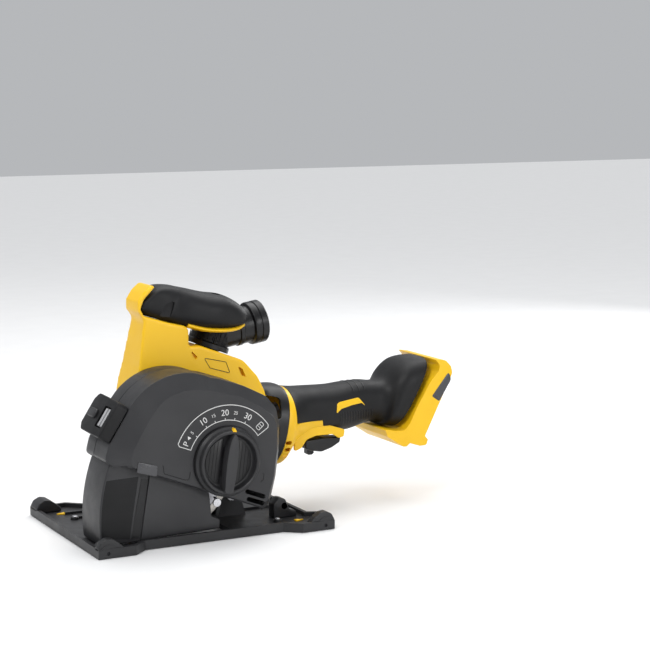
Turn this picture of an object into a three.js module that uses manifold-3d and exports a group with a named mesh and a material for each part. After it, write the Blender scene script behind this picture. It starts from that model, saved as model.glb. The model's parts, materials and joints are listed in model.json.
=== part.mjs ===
// Cordless wall chaser: two 125 mm discs in a plunging guard on a rolling shoe.
// Millimetres, +Z up. The origin is the centre of the shoe's underside.
// +X runs back to the rear handle, and the depth dial is on the -Y side.
import * as THREE from 'three';
import { mergeVertices } from 'three/addons/utils/BufferGeometryUtils.js';
import Module from 'manifold-3d';

const wasm = await Module();
wasm.setup();

// ---- Driving dimensions ----------------------------------------------------
const GAP = 0.3;
const WALL = 2.5;

const SHOE_LENGTH = 250;
const SHOE_WIDTH = 196;
const SHOE_FLOOR = 5;
const SHOE_RIM = 9;
const SHOE_RIM_WIDTH = 4;
const ROLLER_RADIUS = 4.5;
const ROLLER_LENGTH = 13;
const ROLLER_X = 115;
const ROLLER_Y = 88;
const ROLLER_POD = 19.4;

const PIVOT_X = 48;
const PIVOT_Z = 26;
const PIVOT_RADIUS = 5;

const SPINDLE_X = -36;
const SPINDLE_Z = 70;
const PLUNGE_DEGREES = 25.5;
const DISC_RADIUS = 62.5;
const DISC_THICKNESS = 2.4;
const DISC_BORE = 11.1;
const FAR_DISC_Y = -37.7;
const NEAR_DISC_Y = -66.7;

const SWEEP_RADIUS = 163.5;
const LOWER_NEAR_Y = -77;
const LOWER_FAR_Y = -29;

const COVER_FACE_Y = -87;
const COVER_SEAM_Y = -49;
const GUARD_FAR_Y = -26;
const BEVEL = 6;

const DIAL_X = 12;
const DIAL_Z = 78;
const DIAL_RADIUS = 34;

const BODY_Y = 12;
const MOTOR_RISE = THREE.MathUtils.degToRad(8.5);
const CROWN_TEETH = 33;
const PINION_TEETH = 11;
const CROWN_RADIUS = 16.5;
const PINION_RADIUS = 5.5;

const HOUSING_NEAR_Y = -25.6;
const COLUMN_FAR_Y = 14;
const HOUSING_FAR_Y = 34;

const SPIGOT = new THREE.Vector3(36, 12, 174.2);
const SPIGOT_LEAN = THREE.MathUtils.degToRad(21);
const ELBOW_BEND = THREE.MathUtils.degToRad(60);
const ELBOW_SWING_FROM = -5;
const ELBOW_SWING_TO = 75;

// ---- Materials -------------------------------------------------------------
const paint = (color, roughness, metalness) =>
  new THREE.MeshStandardMaterial({ color, roughness, metalness });
const guardPlastic = paint(0x4c4c4e, 0.6, 0);
const shoePlastic = paint(0x37373a, 0.65, 0);
const yellowPlastic = paint(0xf7c50a, 0.45, 0);
const softRubber = paint(0x242426, 0.8, 0);
const blackPlastic = paint(0x1b1b1d, 0.5, 0);
const greyPlastic = paint(0xb4b4b4, 0.5, 0);
const castAluminium = paint(0xa9a59d, 0.45, 0.9);
const brightSteel = paint(0xc4c6c8, 0.3, 1);
const discSteel = paint(0x9a9da0, 0.4, 1);
const laminations = paint(0x5d6064, 0.5, 0.8);
const boardGreen = paint(0x1d5a3a, 0.5, 0);

// ---- Geometry helpers ------------------------------------------------------
function toSolid(geometry) {
  const bare = geometry.index ? geometry.toNonIndexed() : geometry.clone();
  bare.deleteAttribute('normal');
  bare.deleteAttribute('uv');
  const merged = mergeVertices(bare, 1e-3);
  const triangles = [];
  const index = merged.index.array;
  for (let i = 0; i < index.length; i += 3) {
    const [a, b, c] = [index[i], index[i + 1], index[i + 2]];
    if (a !== b && b !== c && c !== a) triangles.push(a, b, c);
  }
  const vertProperties = new Float32Array(merged.attributes.position.array);
  const triVerts = new Uint32Array(triangles);
  return new wasm.Manifold(new wasm.Mesh({ numProp: 3, vertProperties, triVerts }));
}

function toGeometry(solid) {
  const mesh = solid.getMesh();
  const points = new Float32Array(mesh.numVert * 3);
  for (let i = 0; i < mesh.numVert; i += 1) {
    for (let k = 0; k < 3; k += 1) points[3 * i + k] = mesh.vertProperties[mesh.numProp * i + k];
  }
  const geometry = new THREE.BufferGeometry();
  geometry.setAttribute('position', new THREE.BufferAttribute(points, 3));
  geometry.setIndex(new THREE.BufferAttribute(new Uint32Array(mesh.triVerts), 1));
  geometry.computeVertexNormals();
  return geometry;
}

const box = (x0, x1, y0, y1, z0, z1) => {
  const geometry = new THREE.BoxGeometry(x1 - x0, y1 - y0, z1 - z0);
  return toSolid(geometry.translate((x0 + x1) / 2, (y0 + y1) / 2, (z0 + z1) / 2));
};

const joined = (...solids) => solids.reduce((whole, next) => whole.add(next));
const cut = (solid, ...tools) => tools.reduce((rest, tool) => rest.subtract(tool), solid);

// A straight round bar or cone between two points.
function bar(from, to, radius, segments = 14, endRadius = radius) {
  const a = new THREE.Vector3(...from);
  const b = new THREE.Vector3(...to);
  const along = b.clone().sub(a);
  const geometry = new THREE.CylinderGeometry(endRadius, radius, along.length(), segments);
  const turn = new THREE.Quaternion().setFromUnitVectors(
    new THREE.Vector3(0, 1, 0), along.clone().normalize());
  geometry.applyQuaternion(turn);
  const middle = a.add(b).multiplyScalar(0.5);
  return toSolid(geometry.translate(middle.x, middle.y, middle.z));
}

// A bar along Y at (x, z), which most shafts, pins and bores here are.
const across = (x, z, y0, y1, radius, segments = 14) =>
  bar([x, y0, z], [x, y1, z], radius, segments);

const tube = (x, z, y0, y1, outer, inner, segments = 16) =>
  across(x, z, y0, y1, outer, segments).subtract(across(x, z, y0 - 1, y1 + 1, inner, segments));

const shapeOf = (points) => new THREE.Shape(points.map(([x, y]) => new THREE.Vector2(x, y)));

// An outline in the XZ plane, extruded along Y, with an optional chamfer on both ends.
function slab(points, y0, y1, chamfer = 0, depth = chamfer) {
  const geometry = new THREE.ExtrudeGeometry(shapeOf(points), {
    depth: y1 - y0 - 2 * depth,
    bevelEnabled: chamfer > 0,
    bevelSize: chamfer,
    bevelThickness: depth,
    bevelOffset: -chamfer,
    bevelSegments: 1,
    curveSegments: 8,
  });
  return toSolid(geometry.rotateX(Math.PI / 2).translate(0, y1 - depth, 0));
}

// An outline in the XY plane, extruded up.
function plate(points, z0, z1) {
  const geometry = new THREE.ExtrudeGeometry(shapeOf(points), { depth: z1 - z0, bevelEnabled: false });
  return toSolid(geometry.translate(0, 0, z0));
}

const arc = (x, z, radius, from, to, steps) => Array.from({ length: steps + 1 }, (_, i) => {
  const angle = THREE.MathUtils.degToRad(from + ((to - from) * i) / steps);
  return [x + radius * Math.cos(angle), z + radius * Math.sin(angle)];
});

// Moves every edge of a counter-clockwise outline inwards by the same distance.
function inset(points, distance) {
  const count = points.length;
  const edges = points.map(([x, y], i) => {
    const [nextX, nextY] = points[(i + 1) % count];
    const length = Math.hypot(nextX - x, nextY - y);
    return [(nextX - x) / length, (nextY - y) / length];
  });
  return points.map(([x, y], i) => {
    const [ax, ay] = edges[(i + count - 1) % count];
    const [bx, by] = edges[i];
    const scale = distance / (1 + ax * bx + ay * by);
    return [x - (ay + by) * scale, y + (ax + bx) * scale];
  });
}

// A smooth body along X. Each ring gives x, the top and bottom heights, the half width,
// the lean of its plane (dx per dz) and how square its corners are.
function skin(rings, shrink = 0, segments = 18) {
  const geometry = new THREE.CylinderGeometry(1, 1, 1, segments, rings.length - 1);
  const position = geometry.attributes.position;
  for (let i = 0; i < position.count; i += 1) {
    const ring = rings[Math.round((0.5 - position.getY(i)) * (rings.length - 1))];
    const radius = Math.hypot(position.getX(i), position.getZ(i));
    const angle = Math.atan2(position.getZ(i), position.getX(i));
    const power = 2 / (ring.square ?? 2.4);
    const side = Math.sign(Math.cos(angle)) * Math.abs(Math.cos(angle)) ** power;
    const rise = Math.sign(Math.sin(angle)) * Math.abs(Math.sin(angle)) ** power;
    const height = ((ring.top - ring.bottom) / 2 - shrink) * rise * radius;
    position.setXYZ(i, ring.x + (ring.lean ?? 0) * height,
      (ring.y ?? BODY_Y) + (ring.half - shrink) * side * radius, (ring.top + ring.bottom) / 2 + height);
  }
  return toSolid(geometry);
}

// ---- Assembly --------------------------------------------------------------
const wallChaser = new THREE.Group();
wallChaser.name = 'wall_chaser';
const drive = new THREE.Group();
drive.position.set(SPINDLE_X, BODY_Y, SPINDLE_Z);
drive.rotation.y = -MOTOR_RISE;
wallChaser.add(drive);

function add(name, solid, material, parent = wallChaser) {
  const mesh = new THREE.Mesh(toGeometry(solid), material);
  mesh.name = name;
  parent.add(mesh);
  return mesh;
}

// ---- Shoe ------------------------------------------------------------------
const halfLength = SHOE_LENGTH / 2;
const halfWidth = SHOE_WIDTH / 2;
const shoeOutline = [
  [-halfLength, -halfWidth], [-87, -halfWidth], [-73, -85.5], [74, -85.5], [90, -halfWidth],
  [halfLength, -halfWidth], [halfLength, -58], [116, -54], [116, 54], [halfLength, 58],
  [halfLength, halfWidth], [90, halfWidth], [74, 85.5], [-73, 85.5], [-87, halfWidth],
  [-halfLength, halfWidth],
];

function roundedEar(y0, y1) {
  return slab([
    [PIVOT_X - 16, SHOE_FLOOR - 1], [PIVOT_X + 16, SHOE_FLOOR - 1],
    ...arc(PIVOT_X, PIVOT_Z, 9.5, 0, 180, 8),
  ], y0, y1);
}

function makeShoe() {
  let shoe = plate(shoeOutline, 0, SHOE_RIM);
  shoe = cut(shoe, plate(inset(shoeOutline, SHOE_RIM_WIDTH), SHOE_FLOOR, SHOE_RIM + 1));
  for (const sideX of [-1, 1]) {
    for (const sideY of [-1, 1]) {
      const x = sideX * ROLLER_X;
      const near = sideY * ROLLER_Y - ROLLER_POD / 2;
      shoe = joined(shoe, across(x, ROLLER_RADIUS, near, near + ROLLER_POD, 8.5, 20)
        .intersect(box(x - 9.8, x + 9.8, near - 1, near + ROLLER_POD + 1, 0, 20)));
    }
  }
  for (const y of [-6, 40, 62]) shoe = joined(shoe, box(-100, 100, y, y + 3, SHOE_FLOOR - 1, 7.5));
  for (const x of [-72, 84]) shoe = joined(shoe, box(x, x + 3, 41, 84, SHOE_FLOOR - 1, 7.5));
  shoe = joined(shoe, roundedEar(-20, -14), roundedEar(8, 14));
  shoe = cut(shoe,
    box(-110, 24, -74, -32, -1, 20),
    box(-78, -16, -24, 38, SHOE_FLOOR, 20),
    across(PIVOT_X, PIVOT_Z, -30, 30, PIVOT_RADIUS + GAP));
  for (const sideX of [-1, 1]) {
    for (const sideY of [-1, 1]) {
      const x = sideX * ROLLER_X;
      const half = ROLLER_LENGTH / 2 + 0.6;
      const y = sideY * ROLLER_Y;
      shoe = cut(shoe,
        across(x, ROLLER_RADIUS, y - half, y + half, ROLLER_RADIUS + 0.7, 20),
        across(x, ROLLER_RADIUS, y - 12, y + 12, 1.8, 10));
    }
  }
  return shoe;
}

function addRollers() {
  const places = [
    ['front_near', -1, -1], ['front_far', -1, 1], ['rear_near', 1, -1], ['rear_far', 1, 1],
  ];
  const half = ROLLER_LENGTH / 2;
  for (const [place, sideX, sideY] of places) {
    const x = sideX * ROLLER_X;
    const y = sideY * ROLLER_Y;
    add(`roller_${place}`, tube(x, ROLLER_RADIUS, y - half, y + half, ROLLER_RADIUS, 1.8, 14), blackPlastic);
    add(`axle_${place}`, across(x, ROLLER_RADIUS, y - 9.5, y + 9.5, 1.5, 10), brightSteel);
  }
}

// The lower guard's side wall: a front arc about the pivot and a top edge that follows
// the upper guard's lower edge.
function lowerWall(rearX, y0, y1) {
  const top = 159.5 - 1.5;
  return slab([
    [rearX, SHOE_FLOOR + GAP], [rearX, 84.2 - (rearX + 106) * 0.392 + 8],
    ...arc(PIVOT_X, PIVOT_Z, SWEEP_RADIUS, top, 187.1, 14),
  ], y0, y1);
}

function makeLowerGuard() {
  const shell = joined(
    lowerWall(9, LOWER_NEAR_Y, LOWER_NEAR_Y + WALL),
    lowerWall(24, LOWER_FAR_Y - WALL, LOWER_FAR_Y));
  const arcBand = slab([
    ...arc(PIVOT_X, PIVOT_Z, SWEEP_RADIUS, 158, 187.1, 14),
    ...arc(PIVOT_X, PIVOT_Z, SWEEP_RADIUS - WALL, 187.1, 158, 14),
  ], LOWER_NEAR_Y, LOWER_FAR_Y);
  const flange = box(-100, 20, LOWER_FAR_Y - 0.5, LOWER_FAR_Y + 4.6, SHOE_FLOOR + GAP, SHOE_FLOOR + 3);
  let guard = joined(shell, arcBand, flange);
  const radius = Math.hypot(SPINDLE_X - PIVOT_X, SPINDLE_Z - PIVOT_Z);
  const start = THREE.MathUtils.radToDeg(Math.atan2(SPINDLE_Z - PIVOT_Z, SPINDLE_X - PIVOT_X));
  for (let step = 0; step <= 6; step += 1) {
    const [[x, z]] = arc(PIVOT_X, PIVOT_Z, radius, start + (PLUNGE_DEGREES * step) / 6, start, 1);
    guard = cut(guard, across(x, z, LOWER_FAR_Y - 3, LOWER_FAR_Y + 1, 17.2, 20));
  }
  guard = cut(guard,
    box(SPINDLE_X - 18, SPINDLE_X + 14, LOWER_FAR_Y - 3, LOWER_FAR_Y + 1, SPINDLE_Z - 8, 120));
  return cut(guard, box(-100, -22, LOWER_FAR_Y, LOWER_FAR_Y + 10, SHOE_FLOOR, 12));
}

// A torsion spring wound round the pivot pin between the ears.
function makeReturnSpring() {
  const turns = 4;
  const points = Array.from({ length: turns * 12 + 1 }, (_, i) => {
    const angle = (i * Math.PI) / 6;
    const x = PIVOT_X + 7.2 * Math.cos(angle);
    const z = PIVOT_Z + 7.2 * Math.sin(angle);
    return new THREE.Vector3(x, -1 + i * 0.145, z);
  });
  const wire = new THREE.Shape().absarc(0, 0, 0.8, 0, 2 * Math.PI);
  return toSolid(new THREE.ExtrudeGeometry(wire, {
    steps: turns * 12, extrudePath: new THREE.CatmullRomCurve3(points), curveSegments: 3,
  }));
}

add('shoe', makeShoe(), shoePlastic);
add('lower_guard', makeLowerGuard(), guardPlastic);
addRollers();
add('pivot_pin', across(PIVOT_X, PIVOT_Z, -21.5, 15.5, PIVOT_RADIUS, 20), brightSteel);
add('return_spring', makeReturnSpring(), brightSteel);

// ---- Upper guard: fixed half and swing-open cover ---------------------------
const guardOutline = [
  [-103, 83.2], [51, 22.4], [61, 29], [68, 56], [71.6, 82], [72.5, 106],
  [69, 124], [58, 137], [34, 149], [8, 158],
  ...arc(-30, 101, 65.5, 64, 144, 10), [-106.8, 102.7], [-110.5, 88],
];
const cavityShift = [-2.4, 0, -9.7];

function makeFixedGuard() {
  const shell = slab(guardOutline, COVER_SEAM_Y + GAP, GUARD_FAR_Y);
  const hollow = slab(inset(guardOutline, WALL), COVER_SEAM_Y - 1, GUARD_FAR_Y - WALL);
  return cut(shell, hollow, hollow.translate(cavityShift),
    across(SPINDLE_X, SPINDLE_Z, -30, -20, 16.1, 24),
    box(-52, -18, -30, -20, 112, 146));
}

function makeCover() {
  const shell = slab(guardOutline, COVER_FACE_Y, COVER_SEAM_Y + 10, BEVEL, 5)
    .intersect(box(-200, 200, COVER_FACE_Y - 1, COVER_SEAM_Y, 0, 200));
  const hollow = slab(inset(guardOutline, WALL), COVER_FACE_Y + WALL, COVER_SEAM_Y + 14, BEVEL, 5);
  const vents = [[30, 41.5, 20], [34, 47, 18]].map(([x, z, length]) =>
    slab([[x, z], [x + length, z - length * 0.39], [x + length, z + 2.6 - length * 0.39], [x, z + 2.6]],
      COVER_FACE_Y - 2, COVER_FACE_Y + 6));
  return cut(shell, hollow, hollow.translate(cavityShift),
    across(DIAL_X, DIAL_Z, -90, -80, 6.4, 20), ...vents);
}

// The latch box closes over the rim at the front of both halves.
const latchAngle = THREE.MathUtils.degToRad(33);
const latchFrame = new THREE.Group();
latchFrame.position.set(-94.9, -54, 121.1);
latchFrame.rotation.y = latchAngle;
wallChaser.add(latchFrame);

const makeLatchLever = () => cut(
  joined(box(-14, -1.5, -27.5, 27, -19, 19), box(-16.5, -13.5, 5, 19, -5, 6)),
  box(-8.5, 0, -23.5, 12, -12.5, 12.5),
  box(-15, -8, -19, -6, -10.5, 10.5),
  bar([-6.5, 23, -22], [-6.5, 23, 22], 1.8, 10));
const makeCatch = () => joined(box(-7.4, -0.4, -20, -13, -9, 9), box(-7.4, -5, -14, -8, -9, 9));

// Knuckles on the rear edge carry the cover; the axis leans with that edge.
const hingeDirection = new THREE.Vector3(0.073, 0, 0.997).normalize();
const hingePoint = (t) => [75.5 + hingeDirection.x * t, COVER_SEAM_Y, 82 + hingeDirection.z * t];

function knuckle(from, to, webNearY, webFarY) {
  const middle = hingePoint((from + to) / 2);
  const half = (to - from) / 2 - 0.5;
  return joined(bar(hingePoint(from), hingePoint(to), 3.2, 14),
    box(70, middle[0] - 0.5, webNearY, webFarY, middle[2] - half, middle[2] + half));
}

const hingeBore = () => bar(hingePoint(-30), hingePoint(30), 1.6, 12);

add('guard_back', cut(joined(makeFixedGuard(),
  knuckle(-24, -9, COVER_SEAM_Y + GAP, COVER_SEAM_Y + 2.5),
  knuckle(9, 24, COVER_SEAM_Y + GAP, COVER_SEAM_Y + 2.5)), hingeBore()), guardPlastic);
add('guard_cover', cut(joined(makeCover(),
  knuckle(-8.6, 8.6, COVER_SEAM_Y - 2.5, COVER_SEAM_Y)), hingeBore()), guardPlastic);
add('cover_hinge_pin', bar(hingePoint(-25), hingePoint(25), 1.3, 12), brightSteel);
add('latch_lever', makeLatchLever(), guardPlastic, latchFrame);
add('latch_catch', makeCatch(), greyPlastic, latchFrame);
add('latch_pin', bar([-6.5, 23, -18.5], [-6.5, 23, 18.5], 1.5, 10), brightSteel, latchFrame);

// ---- Depth dial ------------------------------------------------------------
function makeDialKnob() {
  const base = tube(DIAL_X, DIAL_Z, -91, COVER_FACE_Y - GAP, DIAL_RADIUS, 6.4, 32);
  const rim = tube(DIAL_X, DIAL_Z, -98, -91, DIAL_RADIUS - 3, 26.5, 32);
  const grip = slab([
    [DIAL_X - 6.5, DIAL_Z - 29], [DIAL_X + 6.5, DIAL_Z - 29],
    [DIAL_X + 6.5, DIAL_Z + 29], [DIAL_X - 6.5, DIAL_Z + 29],
  ], -101, -90.5, 2);
  return joined(base, rim, grip);
}

// The stepped cam behind the cover sets how far the machine can plunge.
function makeDepthCam() {
  const steps = 7;
  const outline = [];
  for (let i = 0; i < steps; i += 1) {
    const from = 200 + (i * 300) / steps;
    outline.push(...arc(DIAL_X, DIAL_Z, 14 + 1.6 * i, from, from + 300 / steps, 3));
  }
  return joined(across(DIAL_X, DIAL_Z, -90.2, -81, 6, 20), slab(outline, -83.4, -80.4));
}

add('dial_knob', makeDialKnob(), blackPlastic);
add('depth_cam', makeDepthCam(), brightSteel);
add('depth_stop', across(DIAL_X - 7, 36, -79.8, LOWER_NEAR_Y - GAP, 4, 12), brightSteel);

// ---- Cutting head ----------------------------------------------------------
const makeDisc = (y) => tube(SPINDLE_X, SPINDLE_Z, y, y + DISC_THICKNESS, DISC_RADIUS, DISC_BORE, 40);
const spacerBoss = (y) => tube(SPINDLE_X, SPINDLE_Z, y, y + DISC_THICKNESS + GAP, DISC_BORE - GAP, 7.3, 16);

function makeSpindle() {
  return joined(
    across(SPINDLE_X, SPINDLE_Z, -74, -4, 7, 20),
    across(SPINDLE_X, SPINDLE_Z, -4.1, 32, 4.5, 16));
}

function makeCrownGear() {
  let gear = tube(SPINDLE_X, SPINDLE_Z, -1.8, 3, CROWN_RADIUS, 4.8, 33);
  for (let i = 0; i < CROWN_TEETH; i += 1) {
    const tooth = box(SPINDLE_X + 11, SPINDLE_X + 16, 2.9, 5.4, -0.7, 0.7)
      .translate([-SPINDLE_X, 0, 0]).rotate([0, (360 * i) / CROWN_TEETH, 0]);
    gear = joined(gear, tooth.translate([SPINDLE_X, 0, SPINDLE_Z]));
  }
  return gear;
}

add('disc_near', makeDisc(NEAR_DISC_Y), discSteel);
add('disc_far', makeDisc(FAR_DISC_Y), discSteel);
add('disc_spacer', joined(
  tube(SPINDLE_X, SPINDLE_Z, -64, FAR_DISC_Y - GAP, 16, 7.3, 16), spacerBoss(NEAR_DISC_Y)), brightSteel);
add('inner_flange', joined(
  tube(SPINDLE_X, SPINDLE_Z, -35, -31.8, 19, 7.3, 16), spacerBoss(FAR_DISC_Y)), brightSteel);
add('clamp_nut', tube(SPINDLE_X, SPINDLE_Z, -72.5, NEAR_DISC_Y - GAP, 17, 7.3, 16), brightSteel);
add('spindle', makeSpindle(), brightSteel);
add('crown_gear', makeCrownGear(), brightSteel);
add('lower_bearing', tube(SPINDLE_X, SPINDLE_Z, -20, -9, 13.6, 7.3, 16), brightSteel);
add('upper_bearing', tube(SPINDLE_X, SPINDLE_Z, 24, 31, 9.5, 4.8, 20), brightSteel);

// ---- Motor and gear case, along the drive axis -----------------------------
const alongDrive = (s0, s1, radius, segments = 16, endRadius = radius) =>
  bar([s0, 0, 0], [s1, 0, 0], radius, segments, endRadius);
const driveTube = (s0, s1, outer, inner, segments = 16) =>
  cut(alongDrive(s0, s1, outer, segments), alongDrive(s0 - 1, s1 + 1, inner, segments));

const toDrive = (solid) => solid.translate([-SPINDLE_X, -BODY_Y, -SPINDLE_Z])
  .rotate([0, THREE.MathUtils.radToDeg(MOTOR_RISE), 0]);

function makeGearCase() {
  const head = across(SPINDLE_X, SPINDLE_Z, -23.5, 32, 20.3, 20);
  const nose = across(SPINDLE_X, SPINDLE_Z, -31.2, -23.4, 15.6, 24);
  const lug = slab([
    [PIVOT_X + 9, PIVOT_Z], [PIVOT_X + 16, 66], [PIVOT_X - 22, 62],
    ...arc(PIVOT_X, PIVOT_Z, 9, 170, 350, 10),
  ], -13.5, -3);
  const outside = joined(toDrive(joined(head, nose, lug)),
    alongDrive(8, 70, 19, 20, 26), alongDrive(69.9, 112, 26, 20, 31), alongDrive(111.9, 139, 31, 20));
  const gearRoom = across(SPINDLE_X, SPINDLE_Z, -8.6, 33, 17.6, 20);
  const bores = joined(gearRoom, across(SPINDLE_X, SPINDLE_Z, -20.4, -8, 14, 24),
    across(SPINDLE_X, SPINDLE_Z, -40, -20, 8, 20),
    across(PIVOT_X, PIVOT_Z, -40, 10, PIVOT_RADIUS + GAP));
  return cut(outside, toDrive(bores), alongDrive(0, 24, 9), alongDrive(23.6, 34, 12.4),
    alongDrive(33, 108, 8), alongDrive(108, 140, 28));
}

function makeGearCap() {
  return cut(joined(
    tube(SPINDLE_X, SPINDLE_Z, 32.3, 37, 20.3, 3.2, 20),
    tube(SPINDLE_X, SPINDLE_Z, 23.9, 32.4, 12.4, 9.8, 24)),
  across(SPINDLE_X, SPINDLE_Z, 20, 31.4, 9.8, 24));
}

const fanBlades = 9;
function makeFan() {
  let fan = driveTube(122, 125, 24, 4.3);
  fan = joined(fan, driveTube(122, 134, 8, 4.3));
  for (let i = 0; i < fanBlades; i += 1) {
    const blade = box(124.9, 133, 7.5, 23.5, -0.8, 0.8).rotate([(360 * i) / fanBlades, 0, 0]);
    fan = joined(fan, blade);
  }
  return cut(fan, alongDrive(120, 136, 4.3));
}

function makePinion() {
  let pinion = alongDrive(9.6, 17, 4.4, 22);
  for (let i = 0; i < PINION_TEETH; i += 1) {
    const tooth = box(10, 16, 4, PINION_RADIUS, -0.6, 0.6).rotate([(360 * i) / PINION_TEETH, 0, 0]);
    pinion = joined(pinion, tooth);
  }
  return pinion;
}

const statorTeeth = 6;
function makeStator() {
  let stator = driveTube(143, 169, 19, 16);
  for (let i = 0; i < statorTeeth; i += 1) {
    stator = joined(stator, box(143, 169, 12.3, 16.5, -3, 3).rotate([(360 * i) / statorTeeth, 0, 0]));
  }
  return stator;
}

add('gear_case', makeGearCase(), castAluminium, drive);
add('gear_case_cap', makeGearCap(), castAluminium);
add('lock_button', joined(across(SPINDLE_X, SPINDLE_Z, 34.8, 42, 2.9, 14),
  across(SPINDLE_X, SPINDLE_Z, 41.9, 46, 7, 20)), blackPlastic);
add('pinion', makePinion(), brightSteel, drive);
add('rotor_shaft', alongDrive(17.3, 184, 4, 16), brightSteel, drive);
add('rotor_core', driveTube(143, 169, 11.8, 4.3, 20), laminations, drive);
add('fan', makeFan(), blackPlastic, drive);
add('front_bearing', driveTube(24, 33.6, 12, 4.3), brightSteel, drive);
add('rear_bearing', driveTube(177, 183, 8, 4.3, 20), brightSteel, drive);
add('stator', makeStator(), laminations, drive);

// ---- Motor housing, handle and battery foot --------------------------------
const bodyRings = [
  { x: 103.5, top: 132, bottom: 47, half: 38 },
  { x: 112, top: 131, bottom: 48, half: 39 },
  { x: 118, top: 128.5, bottom: 56, half: 38 },
  { x: 126, top: 127, bottom: 66, half: 33 },
  { x: 136, top: 126, bottom: 71.5, half: 29.5 },
  { x: 145, top: 125.7, bottom: 75, half: 28.5 },
  { x: 175, top: 125, bottom: 75.5, half: 27 },
  { x: 194, top: 126.5, bottom: 76, half: 24.5 },
  { x: 214, top: 126.9, bottom: 80.5, half: 22 },
  { x: 231, top: 124.8, bottom: 82.5, half: 22, lean: 0.1 },
  { x: 243, top: 130, bottom: 80, half: 27, lean: 0.3 },
  { x: 254, top: 147, bottom: 78, half: 34, lean: 0.5, square: 3 },
  { x: 263, top: 148, bottom: 76.5, half: 36, lean: 0.57, square: 3.5 },
];
const SHELL = 3;

function makeBodyShell() {
  const last = bodyRings.length - 1;
  const overshoot = (i) => (i === last ? 1 : 0) - (i === 0 ? 1 : 0);
  const inner = bodyRings.map((ring, i) => ({ ...ring, x: ring.x + overshoot(i) }));
  return skin(bodyRings).subtract(skin(inner, SHELL));
}

const bodyShell = makeBodyShell();
const housingRegion = [
  [100, 40], [176, 40], [176, 82], [157, 86], [155, 92.5], [121, 93], [119, 140], [100, 140],
];
const handleRegion = [
  [119.4, 160], [121.4, 93.3], [155.3, 92.8], [157.3, 86.3], [176.3, 82.3], [176.3, 40],
  [300, 40], [300, 160],
];
const PADDLE_PIN = { x: 170, z: 66 };

function makeMotorHousing() {
  const shell = bodyShell.intersect(slab(housingRegion, -60, 80));
  const lug = slab([[165, 62], [175, 62], [175, 78], [165, 78]], 7, 17);
  const exhaust = [BODY_Y - 34, BODY_Y + 34].map((y) => box(108, 113, y - 8, y + 8, 58, 78));
  return cut(joined(shell, lug), ...exhaust,
    across(PADDLE_PIN.x, PADDLE_PIN.z, 0, 24, 2.1, 12));
}

function makeHandleHalf(side) {
  const nearHalf = box(100, 320, -60, BODY_Y - 0.15, 30, 170);
  const farHalf = box(100, 320, BODY_Y + 0.15, 80, 30, 170);
  const half = side < 0 ? nearHalf : farHalf;
  return bodyShell.intersect(slab(handleRegion, -60, 80)).intersect(half);
}

// Along and into the sloping rear face of the foot, where the battery slides on.
const slopeX = 0.457;
const slopeZ = 0.889;
const onFoot = (along, inward) =>
  [272.2 + slopeX * along - slopeZ * inward, 67.1 + slopeZ * along + slopeX * inward];

function makeFoot() {
  const outline = [
    [223, 78.5], [227, 70], [245.7, 58], [249.5, 57.8], [253.7, 61], [266, 57], [274, 57.2],
    [275.9, 63], [272.2, 67.1], [305.8, 132.5], [304, 140], [297, 147], [284, 149], [290, 142],
    [288.9, 136], [277.8, 123.9], [261.4, 97.3], [253.5, 82], [247.4, 75.6], [237.6, 75.6],
  ];
  const pocket = [onFoot(-16, -6), onFoot(62, -6), onFoot(62, 11), onFoot(-16, 11)];
  return cut(slab(outline, -27, 51), slab(pocket, -13, 37));
}

const makeTerminals = () => slab(
  [onFoot(28, 2), onFoot(56, 2), onFoot(56, 10.6), onFoot(28, 10.6)], 2, 22);

function makePaddle() {
  const outline = [[139, 60], [150, 57.5], [180, 61], [180, 70], [160, 70.5], [139, 68.5]];
  return cut(slab(outline, -8, 32, 1.5), box(143, 190, 6, 18, 50, 80),
    across(PADDLE_PIN.x, PADDLE_PIN.z, -6.5, 30.5, 2.1, 12),
    across(153, 62.5, 3, 21, 1.5, 10));
}

const lockOffOutline = [[149.5, 66], [156.5, 66], [157, 53.5], [155, 52], [151, 52], [149, 53.5]];
const makeLockOff = () => cut(slab(lockOffOutline, 8.5, 15.5), across(153, 62.5, 5, 20, 1.5, 10));

add('motor_housing', makeMotorHousing(), yellowPlastic);
add('handle_left', makeHandleHalf(-1), softRubber);
add('handle_right', makeHandleHalf(1), softRubber);
add('battery_foot', makeFoot(), yellowPlastic);
add('battery_terminals', makeTerminals(), blackPlastic);
add('paddle', makePaddle(), blackPlastic);
add('paddle_pin', across(PADDLE_PIN.x, PADDLE_PIN.z, -6, 30, 1.8, 12), brightSteel);
add('lock_off_lever', makeLockOff(), blackPlastic);
add('lock_off_pin', across(153, 62.5, 3.4, 20.6, 1.2, 10), brightSteel);
add('switch_module', box(153, 182, 2, 22, 84, 112), blackPlastic);
add('control_board', box(192, 236, -1, 25, 92, 94.4), boardGreen);

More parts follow.
